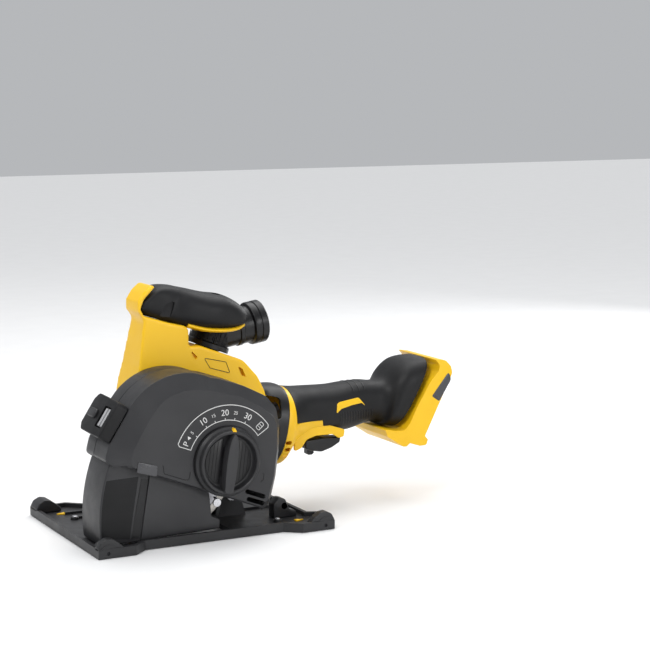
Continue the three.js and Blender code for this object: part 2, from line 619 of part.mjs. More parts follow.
// ---- Front housing with the dust duct, fore grip and elbow ------------------
const columnOutline = [
  [-56, 103], [1, 110], [1, 202.5], [-19, 207], [-49.5, 217], [-51.5, 223], [-27, 243.5],
  [-31, 246], [-37, 245], [-46, 238], [-52, 230], [-52.5, 220], [-46, 213], [-52, 165], [-57, 135],
];
const saddleOutline = [
  [-40, 105], [86, 120.5], [84, 131], [76, 147], [60, 164.5], [13, 182.5], [-30, 182.5], [-44, 160],
];
const gripRings = [
  { x: -39.5, top: 243, bottom: 222.5, half: 18.5, lean: 1.18, y: -6 },
  { x: -22, top: 242, bottom: 210, half: 19.5, lean: 0.6, y: -6 },
  { x: 0, top: 238.5, bottom: 202.5, half: 24, lean: 0.3, y: -6 },
  { x: 20, top: 234, bottom: 197, half: 27, lean: 0.2, y: -6 },
  { x: 40, top: 227, bottom: 192, half: 27, y: -6 },
  { x: 56, top: 218, bottom: 190, half: 23, y: -6 },
  { x: 66, top: 209, bottom: 192, half: 15, y: -6 },
  { x: 71, top: 202, bottom: 197, half: 6, y: -6 },
];
const spigotAxis = new THREE.Vector3(Math.sin(SPIGOT_LEAN), 0, Math.cos(SPIGOT_LEAN));
const upSpigot = (distance) => SPIGOT.clone().addScaledVector(spigotAxis, distance).toArray();

const spigotBar = (from, to, radius, segments = 20) =>
  bar(upSpigot(from), upSpigot(to), radius, segments);

const ELBOW_KNEE = 16;
const OUTLET_LENGTH = 56;
const outletElevation = Math.PI / 2 - SPIGOT_LEAN - ELBOW_BEND;

// A round elbow: up the spigot to the knee, then out along the outlet at a swing angle.
function elbowBody(neckRadius, outletRadius, from, length, swing = 0) {
  const knee = new THREE.Vector3(...upSpigot(ELBOW_KNEE));
  const direction = new THREE.Vector3(Math.cos(outletElevation), 0, Math.sin(outletElevation));
  direction.applyAxisAngle(spigotAxis, THREE.MathUtils.degToRad(swing));
  const end = knee.clone().addScaledVector(direction, length);
  const ball = new THREE.SphereGeometry(neckRadius, 16, 8).translate(knee.x, knee.y, knee.z);
  return joined(spigotBar(from, ELBOW_KNEE, neckRadius), toSolid(ball),
    bar(knee.toArray(), end.toArray(), outletRadius, 20));
}

function makeElbow() {
  const knee = new THREE.Vector3(...upSpigot(ELBOW_KNEE));
  const direction = new THREE.Vector3(Math.cos(outletElevation), 0, Math.sin(outletElevation));
  const at = (distance) => knee.clone().addScaledVector(direction, distance).toArray();
  const flange = bar(at(OUTLET_LENGTH - 15), at(OUTLET_LENGTH), 22, 20);
  return cut(joined(elbowBody(19, 18.5, 6.6, OUTLET_LENGTH), flange),
    elbowBody(16.2, 16, 4, OUTLET_LENGTH + 2), spigotBar(-12, 6.6, 26));
}

function makeFrontHousing() {
  const duct = slab([
    [-48, 116], [-18, 116], [20, 140], [56, 152], [52, 160], [12, 175], [-20, 168], [-46, 146],
  ], HOUSING_NEAR_Y + 4, COLUMN_FAR_Y - 4);
  const chamber = slab([[-20, 124], [30, 142], [54, 152], [52, 160], [14, 174], [-20, 168]],
    0, HOUSING_FAR_Y - 4);
  const window = box(-48, -20, HOUSING_NEAR_Y - 1, HOUSING_NEAR_Y + 5, 116, 144);
  const block = joined(slab(columnOutline, HOUSING_NEAR_Y, COLUMN_FAR_Y),
    slab(saddleOutline, HOUSING_NEAR_Y, HOUSING_FAR_Y));
  return cut(block, duct, chamber, window,
    spigotBar(-16, 4, 15.5), spigotBar(0, 30, 23.2));
}

function makeForeGrip() {
  let grip = cut(skin(gripRings, 0, 20),
    slab(inset(columnOutline, -0.4), HOUSING_NEAR_Y - 10, HOUSING_FAR_Y + 1));
  for (let swing = ELBOW_SWING_FROM - 2; swing <= ELBOW_SWING_TO + 5; swing += 12) {
    grip = cut(grip, elbowBody(20.6, 20.2, 5, OUTLET_LENGTH - 14, swing));
  }
  return cut(grip, bar([36, -12, 245], [36, -12, 219], 4.2, 14));
}

add('front_housing', makeFrontHousing(), yellowPlastic);
add('fore_grip', makeForeGrip(), softRubber);
add('dust_spigot', cut(spigotBar(0.4, 6.2, 22.5), spigotBar(-1, 8, 15.5)), blackPlastic);
add('dust_elbow', makeElbow(), blackPlastic);

// ---- Fasteners -------------------------------------------------------------
const makeScrew = (radius, head) => cut(
  bar([0, 0, 0], [0, 0, head], radius, 14),
  bar([0, 0, head - 1.2], [0, 0, head + 1], radius * 0.5, 6));

function addScrew(name, place, turn, radius, head) {
  const screw = add(name, makeScrew(radius, head), brightSteel);
  screw.position.set(...place);
  screw.rotation.set(...turn);
}

addScrew('fore_grip_screw', [36, -12, 219.4], [0, 0, 0], 3.8, 2.5);
[45, 135, 225, 315].forEach((angle, i) => {
  const turn = THREE.MathUtils.degToRad(angle);
  addScrew(`cap_screw_${i + 1}`,
    [SPINDLE_X + 15.5 * Math.cos(turn), 37.3, SPINDLE_Z + 15.5 * Math.sin(turn)],
    [-Math.PI / 2, 0, 0], 2.8, 2.4);
});

export default wallChaser;
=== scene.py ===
"""Cordless wall chaser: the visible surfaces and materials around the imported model.

Every outline is in millimetres in the model's own frame: X to the rear handle, Y away from the
depth dial, Z up. MM turns it into metres.
"""
import json
import math
import bmesh
import bpy
from mathutils import Matrix, Vector


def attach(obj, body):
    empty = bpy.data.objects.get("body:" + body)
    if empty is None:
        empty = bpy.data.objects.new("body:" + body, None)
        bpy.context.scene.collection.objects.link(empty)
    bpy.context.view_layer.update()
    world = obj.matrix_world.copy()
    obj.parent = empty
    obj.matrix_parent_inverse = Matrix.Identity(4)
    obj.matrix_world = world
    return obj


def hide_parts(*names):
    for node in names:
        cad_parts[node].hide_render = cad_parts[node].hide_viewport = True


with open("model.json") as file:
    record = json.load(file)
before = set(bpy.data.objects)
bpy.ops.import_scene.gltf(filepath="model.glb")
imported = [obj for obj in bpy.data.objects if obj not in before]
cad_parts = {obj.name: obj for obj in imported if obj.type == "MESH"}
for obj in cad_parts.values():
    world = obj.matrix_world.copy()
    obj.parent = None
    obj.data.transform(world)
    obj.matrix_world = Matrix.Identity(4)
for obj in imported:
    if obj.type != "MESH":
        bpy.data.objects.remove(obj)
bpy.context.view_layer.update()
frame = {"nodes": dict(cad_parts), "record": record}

MM = 0.001
BODY_Y = 12.0
PIVOT = (48.0, 26.0)
SPINDLE = (-36.0, 70.0)
DIAL = (12.0, 78.0)
SEAM_Y, FACE_Y, GUARD_FAR_Y = -49.0, -87.0, -26.0
SWEEP_RADIUS = 163.5
FOOT_NEAR_Y, FOOT_FAR_Y = -27.0, 51.0


# ---- Materials ----
def new_material(name):
    material = bpy.data.materials.new(name)
    material.use_nodes = True
    tree = material.node_tree
    return material, tree, tree.nodes["Principled BSDF"], tree.nodes.new("ShaderNodeTexCoord")


def add_node(tree, kind, values):
    node = tree.nodes.new(kind)
    for socket, value in values.items():
        node.inputs[socket].default_value = value
    return node


def add_noise(tree, coords, scale, detail=4.0, stretch=None):
    noise = add_node(tree, "ShaderNodeTexNoise", {"Scale": scale, "Detail": detail})
    source = coords.outputs["Object"]
    if stretch:
        mapping = add_node(tree, "ShaderNodeMapping", {"Scale": stretch})
        tree.links.new(source, mapping.inputs["Vector"])
        source = mapping.outputs["Vector"]
    tree.links.new(source, noise.inputs["Vector"])
    return noise


def vary_color(tree, shader, noise, dark, light):
    ramp = add_node(tree, "ShaderNodeValToRGB", {})
    for element, position, color in zip(ramp.color_ramp.elements, (0.3, 0.72), (dark, light)):
        element.position = position
        element.color = (*color, 1)
    tree.links.new(noise.outputs["Fac"], ramp.inputs["Fac"])
    tree.links.new(ramp.outputs["Color"], shader.inputs["Base Color"])


def vary_roughness(tree, shader, noise, low, high):
    limits = {"From Min": 0.3, "From Max": 0.7, "To Min": low, "To Max": high}
    spread = add_node(tree, "ShaderNodeMapRange", limits)
    tree.links.new(noise.outputs["Fac"], spread.inputs["Value"])
    tree.links.new(spread.outputs["Result"], shader.inputs["Roughness"])


def add_bump(tree, shader, height, strength, distance):
    bump = add_node(tree, "ShaderNodeBump", {"Strength": strength, "Distance": distance})
    tree.links.new(height, bump.inputs["Height"])
    tree.links.new(bump.outputs["Normal"], shader.inputs["Normal"])


def add_grain(tree, shader, coords, scale, strength):
    """The spark-eroded texture of a mould: small rounded cells broken up by noise."""
    cells = add_node(tree, "ShaderNodeTexVoronoi", {"Scale": scale})
    tree.links.new(coords.outputs["Object"], cells.inputs["Vector"])
    fine = add_noise(tree, coords, scale * 1.7, 2.0)
    mix = add_node(tree, "ShaderNodeMath", {})
    mix.operation = "ADD"
    tree.links.new(cells.outputs["Distance"], mix.inputs[0])
    tree.links.new(fine.outputs["Fac"], mix.inputs[1])
    add_bump(tree, shader, mix.outputs["Value"], strength, 0.0001)


def plastic(name, dark, light, rough, grain=1500, strength=0.25, shine=0.4):
    material, tree, shader, coords = new_material(name)
    shader.inputs["Specular IOR Level"].default_value = shine
    vary_color(tree, shader, add_noise(tree, coords, 22), dark, light)
    vary_roughness(tree, shader, add_noise(tree, coords, 75), rough - 0.05, rough + 0.07)
    add_grain(tree, shader, coords, grain, strength)
    return material


def metal(name, dark, light, rough, stretch=(1, 1, 1), scale=300, strength=0.15):
    material, tree, shader, coords = new_material(name)
    shader.inputs["Metallic"].default_value = 1.0
    marks = add_noise(tree, coords, scale, 5, stretch)
    vary_color(tree, shader, add_noise(tree, coords, 40), dark, light)
    vary_roughness(tree, shader, marks, rough - 0.07, rough + 0.12)
    add_bump(tree, shader, marks.outputs["Fac"], strength, 0.00008)
    return material


GUARD = plastic("guard_grey", (0.025, 0.025, 0.027), (0.034, 0.034, 0.036), 0.4, 1300, 0.3, 0.34)
# A darker guard grey: the latch lever's own colour and the moulded lines on the cover, and painted shade
# where it lies on the sweep's near-wall band.
GUARD_DARK = plastic("guard_shadow_grey", (0.006, 0.006, 0.0065), (0.010, 0.010, 0.011), 0.45,
                     1300, 0.3, 0.25)
SHOE = plastic("shoe_grey", (0.015, 0.015, 0.016), (0.022, 0.022, 0.024), 0.42, 1100, 0.35)
YELLOW = plastic("warm_yellow", (0.86, 0.50, 0.006), (0.90, 0.545, 0.010), 0.36, 1600, 0.12)
RUBBER = plastic("soft_black", (0.004, 0.004, 0.0045), (0.007, 0.007, 0.008), 0.5, 2100, 0.35, 0.3)
BLACK = plastic("moulded_black", (0.003, 0.003, 0.0035), (0.006, 0.006, 0.007), 0.34, 1500, 0.25)
LIGHT_GREY = plastic("light_grey", (0.36, 0.36, 0.37), (0.44, 0.44, 0.45), 0.45, 1500, 0.2)
PRINT = plastic("dial_print", (0.62, 0.62, 0.61), (0.72, 0.72, 0.71), 0.5, 2500, 0.15)
LABEL = plastic("blank_label", (0.050, 0.050, 0.054), (0.068, 0.068, 0.073), 0.3, 3000, 0.1)
BOARD = plastic("board_green", (0.012, 0.10, 0.045), (0.02, 0.15, 0.07), 0.4, 900, 0.3)
CAST = metal("cast_aluminium", (0.40, 0.38, 0.35), (0.50, 0.48, 0.45), 0.42, (1, 1, 1), 420, 0.5)
STEEL = metal("turned_steel", (0.50, 0.50, 0.52), (0.62, 0.62, 0.64), 0.28, (1, 14, 1), 240, 0.2)
DISC = metal("disc_steel", (0.30, 0.30, 0.32), (0.44, 0.44, 0.46), 0.36, (1, 1, 1), 500, 0.3)
CORE = metal("stacked_core", (0.10, 0.10, 0.11), (0.18, 0.18, 0.19), 0.45, (40, 1, 1), 60, 0.6)

SLOT_MATERIALS = {
    "guard_plastic": GUARD, "shoe_plastic": SHOE, "yellow_plastic": YELLOW, "soft_rubber": RUBBER,
    "black_plastic": BLACK, "grey_plastic": LIGHT_GREY, "cast_aluminium": CAST,
    "bright_steel": STEEL, "disc_steel": DISC, "laminations": CORE, "board": BOARD,
}


# ---- Mesh helpers: a piece that only cuts another keeps the default material ----
def link(name, data):
    item = bpy.data.objects.new(name, data)
    bpy.context.scene.collection.objects.link(item)
    return item


def new_object(name, mesh, material):
    mesh.materials.clear()
    mesh.materials.append(material)
    return link(name, mesh)


def evaluated(item):
    """The mesh that an object's modifiers or curve settings give."""
    depsgraph = bpy.context.evaluated_depsgraph_get()
    return bpy.data.meshes.new_from_object(item.evaluated_get(depsgraph))


def mesh_from(vertices, faces):
    mesh = bpy.data.meshes.new("mesh")
    mesh.from_pydata([tuple(Vector(v) * MM) for v in vertices], [], faces)
    work = bmesh.new()
    work.from_mesh(mesh)
    bmesh.ops.remove_doubles(work, verts=work.verts, dist=1e-6)
    bmesh.ops.recalc_face_normals(work, faces=work.faces)
    work.to_mesh(mesh)
    work.free()
    return mesh


def apply_modifiers(piece):
    mesh = evaluated(piece)
    piece.modifiers.clear()
    piece.data = mesh
    return piece


def smooth(piece, degrees=32):
    piece.data.shade_smooth()
    piece.data.set_sharp_from_angle(angle=math.radians(degrees))
    return piece


def round_edges(piece, width, segments=3, degrees=30):
    bevel = piece.modifiers.new("edges", "BEVEL")
    bevel.width = width * MM
    bevel.segments = segments
    bevel.limit_method = "ANGLE"
    bevel.angle_limit = math.radians(degrees)
    return smooth(apply_modifiers(piece), 40)


def boolean(piece, tool, operation="DIFFERENCE"):
    step = piece.modifiers.new("step", "BOOLEAN")
    step.operation = operation
    step.solver = "EXACT"
    step.object = tool
    apply_modifiers(piece)
    bpy.data.objects.remove(tool)
    return piece


def keep_largest(piece):
    """Drops the loose scraps a boolean left behind."""
    work = bmesh.new()
    work.from_mesh(piece.data)
    work.verts.ensure_lookup_table()
    unseen, islands = set(work.verts), []
    while unseen:
        island, front = set(), [unseen.pop()]
        while front:
            vertex = front.pop()
            island.add(vertex)
            for edge in vertex.link_edges:
                other = edge.other_vert(vertex)
                if other in unseen:
                    unseen.discard(other)
                    front.append(other)
        islands.append(island)
    largest = max(islands, key=len)
    bmesh.ops.delete(work, geom=[v for v in work.verts if v not in largest], context="VERTS")
    work.to_mesh(piece.data)
    work.free()
    return piece


def cut_all(piece, tools):
    for tool in tools:
        boolean(piece, tool)
    return piece


def fillet(points, radius, steps=5):
    """Rounds the corners of a closed outline; radius is one number or one per corner."""
    count = len(points)
    radii = radius if isinstance(radius, (list, tuple)) else [radius] * count
    rounded = []
    for i in range(count):
        corner = Vector(points[i])
        before = Vector(points[i - 1]) - corner
        after = Vector(points[(i + 1) % count]) - corner
        half = before.angle(after) / 2
        if radii[i] <= 0 or half > math.radians(87):
            rounded.append(tuple(corner))
            continue
        reach = min(radii[i] / math.tan(half), before.length * 0.49, after.length * 0.49)
        start = corner + before.normalized() * reach
        end = corner + after.normalized() * reach
        for step in range(steps + 1):
            t = step / steps
            rounded.append(tuple(start * (1 - t) ** 2 + corner * 2 * t * (1 - t) + end * t * t))
    return rounded


def around(centre, radius, degrees):
    angle = math.radians(degrees)
    return centre[0] + radius * math.cos(angle), centre[1] + radius * math.sin(angle)


def arc(centre, radius, start, end, steps):
    return [around(centre, radius, start + (end - start) * i / steps) for i in range(steps + 1)]


def circle(centre, radius, steps):
    return arc(centre, radius, 0, 360, steps)[:-1]


def inset(points, distance):
    """Moves every edge of a counter-clockwise outline inwards."""
    moved = []
    for i, point in enumerate(points):
        before = (Vector(point) - Vector(points[i - 1])).normalized()
        after = (Vector(points[(i + 1) % len(points)]) - Vector(point)).normalized()
        scale = distance / max(0.2, 1 + before.dot(after))
        moved.append((point[0] - (before.y + after.y) * scale, point[1] + (before.x + after.x) * scale))
    return moved


def extruded(name, ends, material, edge, segments):
    """A closed outline, given at both ends of its extrusion, with its edges rounded."""
    low, high = ends
    count = len(low)
    sides = [(i, (i + 1) % count, count + (i + 1) % count, count + i) for i in range(count)]
    caps = [tuple(range(count)), tuple(range(count, 2 * count))]
    piece = new_object(name, mesh_from(low + high, caps + sides), material)
    return round_edges(piece, edge, segments) if edge else smooth(piece)


def slab(name, outline, y0, y1, material=BLACK, edge=0.0, segments=3):
    """An XZ outline extruded along Y."""
    return extruded(name, [[(x, y, z) for x, z in outline] for y in (y0, y1)], material, edge, segments)


def plate(name, outline, z0, z1, material, edge):
    """An XY outline extruded up."""
    return extruded(name, [[(x, y, z) for x, y in outline] for z in (z0, z1)], material, edge, 2)


def side_slab(name, outline, x0, x1, material=BLACK, edge=0.0):
    """A YZ outline extruded along X."""
    return extruded(name, [[(x, y, z) for y, z in outline] for x in (x0, x1)], material, edge, 3)


def block(name, low, high, material=BLACK, edge=0.0):
    (x0, y0, z0), (x1, y1, z1) = low, high
    return slab(name, [(x0, z0), (x1, z0), (x1, z1), (x0, z1)], y0, y1, material, edge)


def turned(name, profile, origin, direction, material=BLACK, segments=64):
    """A lathe piece: profile is (distance along direction, radius), closed on the axis or on itself."""
    axis = Vector(direction).normalized()
    side = axis.orthogonal().normalized()
    other = axis.cross(side)
    origin = Vector(origin)
    vertices = []
    for step in range(segments):
        angle = 2 * math.pi * step / segments
        out = side * math.cos(angle) + other * math.sin(angle)
        vertices += [tuple(origin + axis * along + out * radius) for along, radius in profile]
    count = len(profile)
    faces = []
    for step in range(segments):
        for i in range(count):
            j = (i + 1) % count
            if profile[i][1] < 1e-6 and profile[j][1] < 1e-6:
                continue
            a, b = step * count, ((step + 1) % segments) * count
            faces.append((a + i, a + j, b + j, b + i))
    piece = new_object(name, mesh_from(vertices, faces), material)
    work = bmesh.new()
    work.from_mesh(piece.data)
    bmesh.ops.dissolve_degenerate(work, dist=1e-7, edges=work.edges)
    work.to_mesh(piece.data)
    work.free()
    return smooth(piece)


def wire(name, points, radius, material, closed=False):
    """A thin raised or sunken line along points."""
    curve = bpy.data.curves.new(name, "CURVE")
    curve.dimensions = "3D"
    curve.bevel_depth = radius * MM
    curve.bevel_resolution = 2
    curve.use_fill_caps = True
    spline = curve.splines.new("POLY")
    spline.points.add(len(points) - 1)
    for target, point in zip(spline.points, points):
        target.co = (*(Vector(point) * MM), 1)
    spline.use_cyclic_u = closed
    line = link(name, curve)
    mesh = evaluated(line)
    bpy.data.objects.remove(line)
    return smooth(new_object(name, mesh, material), 60)


def catmull(values, t):
    """A smooth value at t along a list of evenly spaced values."""
    last = len(values) - 1
    i = min(int(t), last - 1)
    f = t - i
    p0, p1, p2, p3 = (values[max(0, min(last, i + k))] for k in (-1, 0, 1, 2))
    return 0.5 * (2 * p1 + (p2 - p0) * f + (2 * p0 - 5 * p1 + 4 * p2 - p3) * f * f
                  + (3 * p1 - p0 - 3 * p2 + p3) * f ** 3)


def loft(name, rings, material, between=5, segments=64):
    """A smooth closed body along X. A ring is (x, bottom, top, half width, centre y, lean, squareness)."""
    steps = (len(rings) - 1) * between
    columns = list(zip(*rings))
    vertices = []
    for step in range(steps + 1):
        t = step / between
        x, bottom, top, half, y, lean, square = (catmull(column, t) for column in columns)
        for k in range(segments):
            angle = 2 * math.pi * k / segments
            side = math.copysign(abs(math.cos(angle)) ** (2 / square), math.cos(angle))
            rise = math.copysign(abs(math.sin(angle)) ** (2 / square), math.sin(angle))
            height = (top - bottom) / 2 * rise
            vertices.append((x + lean * height, y + half * side, (top + bottom) / 2 + height))
    faces = []
    for step in range(steps):
        for k in range(segments):
            a, b = step * segments, (step + 1) * segments
            faces.append((a + k, a + (k + 1) % segments, b + (k + 1) % segments, b + k))
    faces.append(tuple(range(segments)))
    faces.append(tuple(range(steps * segments, (steps + 1) * segments)))
    return smooth(new_object(name, mesh_from(vertices, faces), material))


def melt(name, parts, voxel, rounds, material):
    """Fuses overlapping parts into one body whose inner corners are softly filleted."""
    whole = parts[0]
    for part in parts[1:]:
        boolean(whole, part, "UNION")
    remesh = whole.modifiers.new("remesh", "REMESH")
    remesh.mode = "VOXEL"
    remesh.voxel_size = voxel * MM
    soften = whole.modifiers.new("soften", "SMOOTH")
    soften.factor = 0.5
    soften.iterations = rounds
    apply_modifiers(whole)
    whole.name = name
    whole.data.materials.clear()
    whole.data.materials.append(material)
    return smooth(whole, 60)


replaced_nodes = set()


def finish(piece, body, nodes=()):
    """Says which body a piece moves with, and which nodes it stands in for."""
    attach(piece, body)
    if nodes:
        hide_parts(*nodes)
        replaced_nodes.update(nodes)
    return piece


# ---- Guard: the fixed half, the hinged cover and the sweep under them ----
GUARD_CENTRE = (-20.0, 90.0)
SPOKES = 240
GUARD_WALL, FACE_WALL, PAST_SEAM = 2.6, 2.3, 3
GUARD_OUTLINE = fillet(
    [(-103, 83.2), (51, 22.4), (61, 29), (68, 56), (71.6, 82), (72.5, 106), (69, 124), (58, 137),
     (34, 149), (8, 158), *arc((-30, 101), 65.5, 64, 144, 14), (-106.8, 102.7), (-110.5, 88)],
    [3, 6, 10, 12, 12, 12, 14, 16, 20, 20, *[0] * 15, 10, 5])
PLATEAU_OUTLINE = fillet(
    [(-84, 81.2), (48.5, 29), (56, 34), (63, 57), (66.3, 82), (67, 104), (63.5, 117), (50, 127),
     (27, 139.5), (-15, 150), (-31, 150), (-46, 146), (-57, 139), (-67, 126), (-83.7, 98.5), (-87, 86)],
    [4, 6, 8, 12, 12, 14, 14, 14, 20, 24, 24, 20, 16, 16, 14, 6])


def spokes(outline):
    """The distance from the guard's centre to an outline in every one of the evenly spaced directions."""
    centre = Vector(GUARD_CENTRE)
    lengths = []
    for step in range(SPOKES):
        angle = 2 * math.pi * step / SPOKES
        ray = Vector((math.cos(angle), math.sin(angle)))
        best = 0.0
        for i, point in enumerate(outline):
            start, end = Vector(outline[i - 1]) - centre, Vector(point) - centre
            edge = end - start
            across = ray.x * edge.y - ray.y * edge.x
            if abs(across) < 1e-9:
                continue
            reach = (start.x * edge.y - start.y * edge.x) / across
            share = (start.x * ray.y - start.y * ray.x) / across
            if reach > 0 and -1e-9 <= share <= 1 + 1e-9:
                best = max(best, reach)
        lengths.append(best)
    return lengths


OUTER_SPOKES, PLATEAU_SPOKES = spokes(GUARD_OUTLINE), spokes(PLATEAU_OUTLINE)
# The open mouth of the guard lies between these two points of its lower edge.
OPEN_BELOW = [math.degrees(math.atan2(z - GUARD_CENTRE[1], x - GUARD_CENTRE[0])) + 360
              for x, z in ((-100.3, 82), (47, 27))]


def guard_shell(name, stations, material, grow=0.0, open_below=False):
    """A guard-shaped body: at each (y, mix), mix 0 is the rim's outline and 1 the face's plateau.

    An open_below body reaches out past the wall along the guard's mouth, so as a cutter it opens it.
    """
    vertices = []
    for y, mix in stations:
        for step in range(SPOKES):
            turn = 360 * step / SPOKES
            reach = OUTER_SPOKES[step] * (1 - mix) + PLATEAU_SPOKES[step] * mix + grow
            if open_below and OPEN_BELOW[0] < turn < OPEN_BELOW[1]:
                reach += 25
            angle = math.radians(turn)
            vertices.append((GUARD_CENTRE[0] + reach * math.cos(angle), y,
                             GUARD_CENTRE[1] + reach * math.sin(angle)))
    faces = []
    for ring in range(len(stations) - 1):
        for k in range(SPOKES):
            a, b = ring * SPOKES, (ring + 1) * SPOKES
            faces.append((a + k, a + (k + 1) % SPOKES, b + (k + 1) % SPOKES, b + k))
    faces.append(tuple(range(SPOKES)))
    faces.append(tuple(range((len(stations) - 1) * SPOKES, len(stations) * SPOKES)))
    return new_object(name, mesh_from(vertices, faces), material)


def face_slot(start, end, width, depth_from, depth_to):
    """A cutter for a slot with round ends through a guard face."""
    a, b = Vector(start), Vector(end)
    along = math.degrees(math.atan2(b.y - a.y, b.x - a.x))
    outline = arc(b, width / 2, along - 90, along + 90, 8)
    outline += arc(a, width / 2, along + 90, along + 270, 8)
    return slab("slot", outline, depth_from, depth_to)


cover_stations = [(SEAM_Y - 0.15, 0.012), (SEAM_Y - 0.6, 0), (-79.7, 0), (-80.1, 0.008), (-80.4, 0.035),
                  (-86.6, 0.955), (-86.88, 0.98), (FACE_Y, 1.0)]
cover_shell = guard_shell("cover_shell", cover_stations, GUARD)
cover_inside = [(y + (FACE_WALL if y < -60 else PAST_SEAM), mix) for y, mix in cover_stations]
cut_all(cover_shell, [
    guard_shell("cavity", cover_inside, GUARD_DARK, -GUARD_WALL, True),
    slab("shaft", circle(DIAL, 17, 47), -92, -70),
    slab("ring_seat", circle(DIAL, 35.2, 71), -92, -86.1),
    face_slot((34, 45.4), (51.5, 38.6), 4.6, -95, -75),
    face_slot((35.5, 37.6), (51, 31.6), 4.6, -95, -75),
])
smooth(cover_shell, 13)
finish(cover_shell, "cover", ["guard_cover"])

back_stations = [(SEAM_Y + 0.45, 0.012), (SEAM_Y + 0.9, 0), (-30, 0), (-27.4, 0.02), (-26.4, 0.05),
                 (GUARD_FAR_Y, 0.10)]
back_shell = guard_shell("back_shell", back_stations, GUARD)
back_inside = [(SEAM_Y - PAST_SEAM, 0.0), *((y - GUARD_WALL, mix) for y, mix in back_stations[1:])]
cut_all(back_shell, [
    guard_shell("cavity", back_inside, GUARD_DARK, -GUARD_WALL, True),
    slab("nose", circle(SPINDLE, 16.3, 47), -35, -20),
    block("dust_window", (-52, -35, 112), (-18, -20, 146)),
])
smooth(back_shell, 26)
finish(back_shell, "machine", ["guard_back"])


def face_line(name, points, radius, material, closed=True):
    """A printed or moulded line lying on the cover's face."""
    line = wire(name, [(x, FACE_Y - 0.02, z) for x, z in points], radius, material, closed)
    return finish(line, "cover")


def polar(radius, degrees):
    return around(DIAL, radius, degrees)


def face_text(name, words, size, centre, turn):
    """Printed lettering on the cover's face."""
    curve = bpy.data.curves.new(name, "FONT")
    curve.body = words
    curve.size = size * 1.35 * MM
    curve.align_x, curve.align_y = "CENTER", "CENTER"
    curve.extrude = 0.08 * MM
    letters = link(name, curve)
    letters.matrix_world = (Matrix.Translation(Vector((centre[0], FACE_Y - 0.02, centre[1])) * MM)
                            @ Matrix.Rotation(math.radians(-turn), 4, "Y")
                            @ Matrix.Rotation(math.pi / 2, 4, "X"))
    bpy.context.view_layer.update()
    mesh = evaluated(letters)
    mesh.transform(letters.matrix_world)
    bpy.data.objects.remove(letters)
    return finish(new_object(name, mesh, PRINT), "cover")


# The printed depth scale around the dial: two bands, their ends, and a tick and a number at each mark.
SCALE_IN, SCALE_OUT, SCALE_START, SCALE_END = 40.2, 55.0, 159.0, 33.0
SCALE_MARKS = [("5", 139, 3.6), ("10", 120.5, 6.2), ("15", 106.5, 3.4), ("20", 91.5, 6.2),
               ("25", 77.5, 3.4), ("30", 61, 6.2)]
outer_band = arc(DIAL, SCALE_OUT, SCALE_START - 2, SCALE_END + 2, 48)
face_line("scale_outer", outer_band, 0.42, PRINT, False)
face_line("scale_inner", arc(DIAL, SCALE_IN, SCALE_START, SCALE_END, 48), 0.42, PRINT, False)
for name, angle, bend in (("scale_start", SCALE_START, -2), ("scale_end", SCALE_END, 2)):
    end_line = [polar(SCALE_IN, angle), polar(SCALE_OUT - 2, angle), polar(SCALE_OUT, angle + bend)]
    face_line(name, end_line, 0.42, PRINT, False)
for mark, angle, size in SCALE_MARKS:
    face_line("tick_" + mark, [polar(SCALE_IN, angle), polar(SCALE_IN + 2.2, angle)], 0.38, PRINT, False)
for mark, angle, size in SCALE_MARKS:
    face_text("number_" + mark, mark, size, polar(SCALE_IN + 7.2, angle), angle - 90)
face_text("park_letter", "P", 6.2, polar(SCALE_IN + 6.8, SCALE_START - 5.2), SCALE_START - 95)


def flat_piece(name, outline, low, high, material, body, edge=0.0):
    return finish(slab(name, outline, low, high, material, edge, 2), body)


park_arrow = [polar(SCALE_IN + 7, 148.6), polar(SCALE_IN + 5.0, 144.6), polar(SCALE_IN + 9.2, 145)]
flat_piece("park_arrow", park_arrow, FACE_Y - 0.12, FACE_Y + 0.3, PRINT, "cover")
end_symbol = [polar(SCALE_IN + 3.6, 44.5), polar(SCALE_IN + 11.4, 43.5), polar(SCALE_IN + 11.4, 38.5),
              polar(SCALE_IN + 3.6, 38)]
face_line("end_symbol", fillet(end_symbol, 1.6, 4), 0.34, PRINT)
for k in (6.2, 8.6):
    symbol_bar = [polar(SCALE_IN + k, 43.6), polar(SCALE_IN + k, 38.8)]
    face_line(f"end_symbol_bar_{int(k)}", symbol_bar, 0.3, PRINT, False)

# Blank plates and the moulded frame where lettering was left out, and small moulded marks.
badge = fillet([(-80, 86.2), (-59.8, 80.6), (-61, 70.3), (-81.2, 76)], 1.6, 3)
flat_piece("blank_badge", badge, FACE_Y - 0.35, FACE_Y + 0.5, LABEL, "cover", 0.3)
face_line("badge_frame", badge, 0.28, GUARD_DARK)
frame_corners = [(-54.5, 80.5), (-53.3, 72.2), (-28, 62.6), (-26.4, 71.4)]
face_line("blank_frame", fillet(frame_corners, [0, 3.2, 3.2, 0]), 0.32, GUARD_DARK, False)
face_line("small_hook", [(50.6, 61.8), (52.2, 61), (51.4, 55.4), (48.4, 53.6)], 0.28, GUARD_DARK, False)


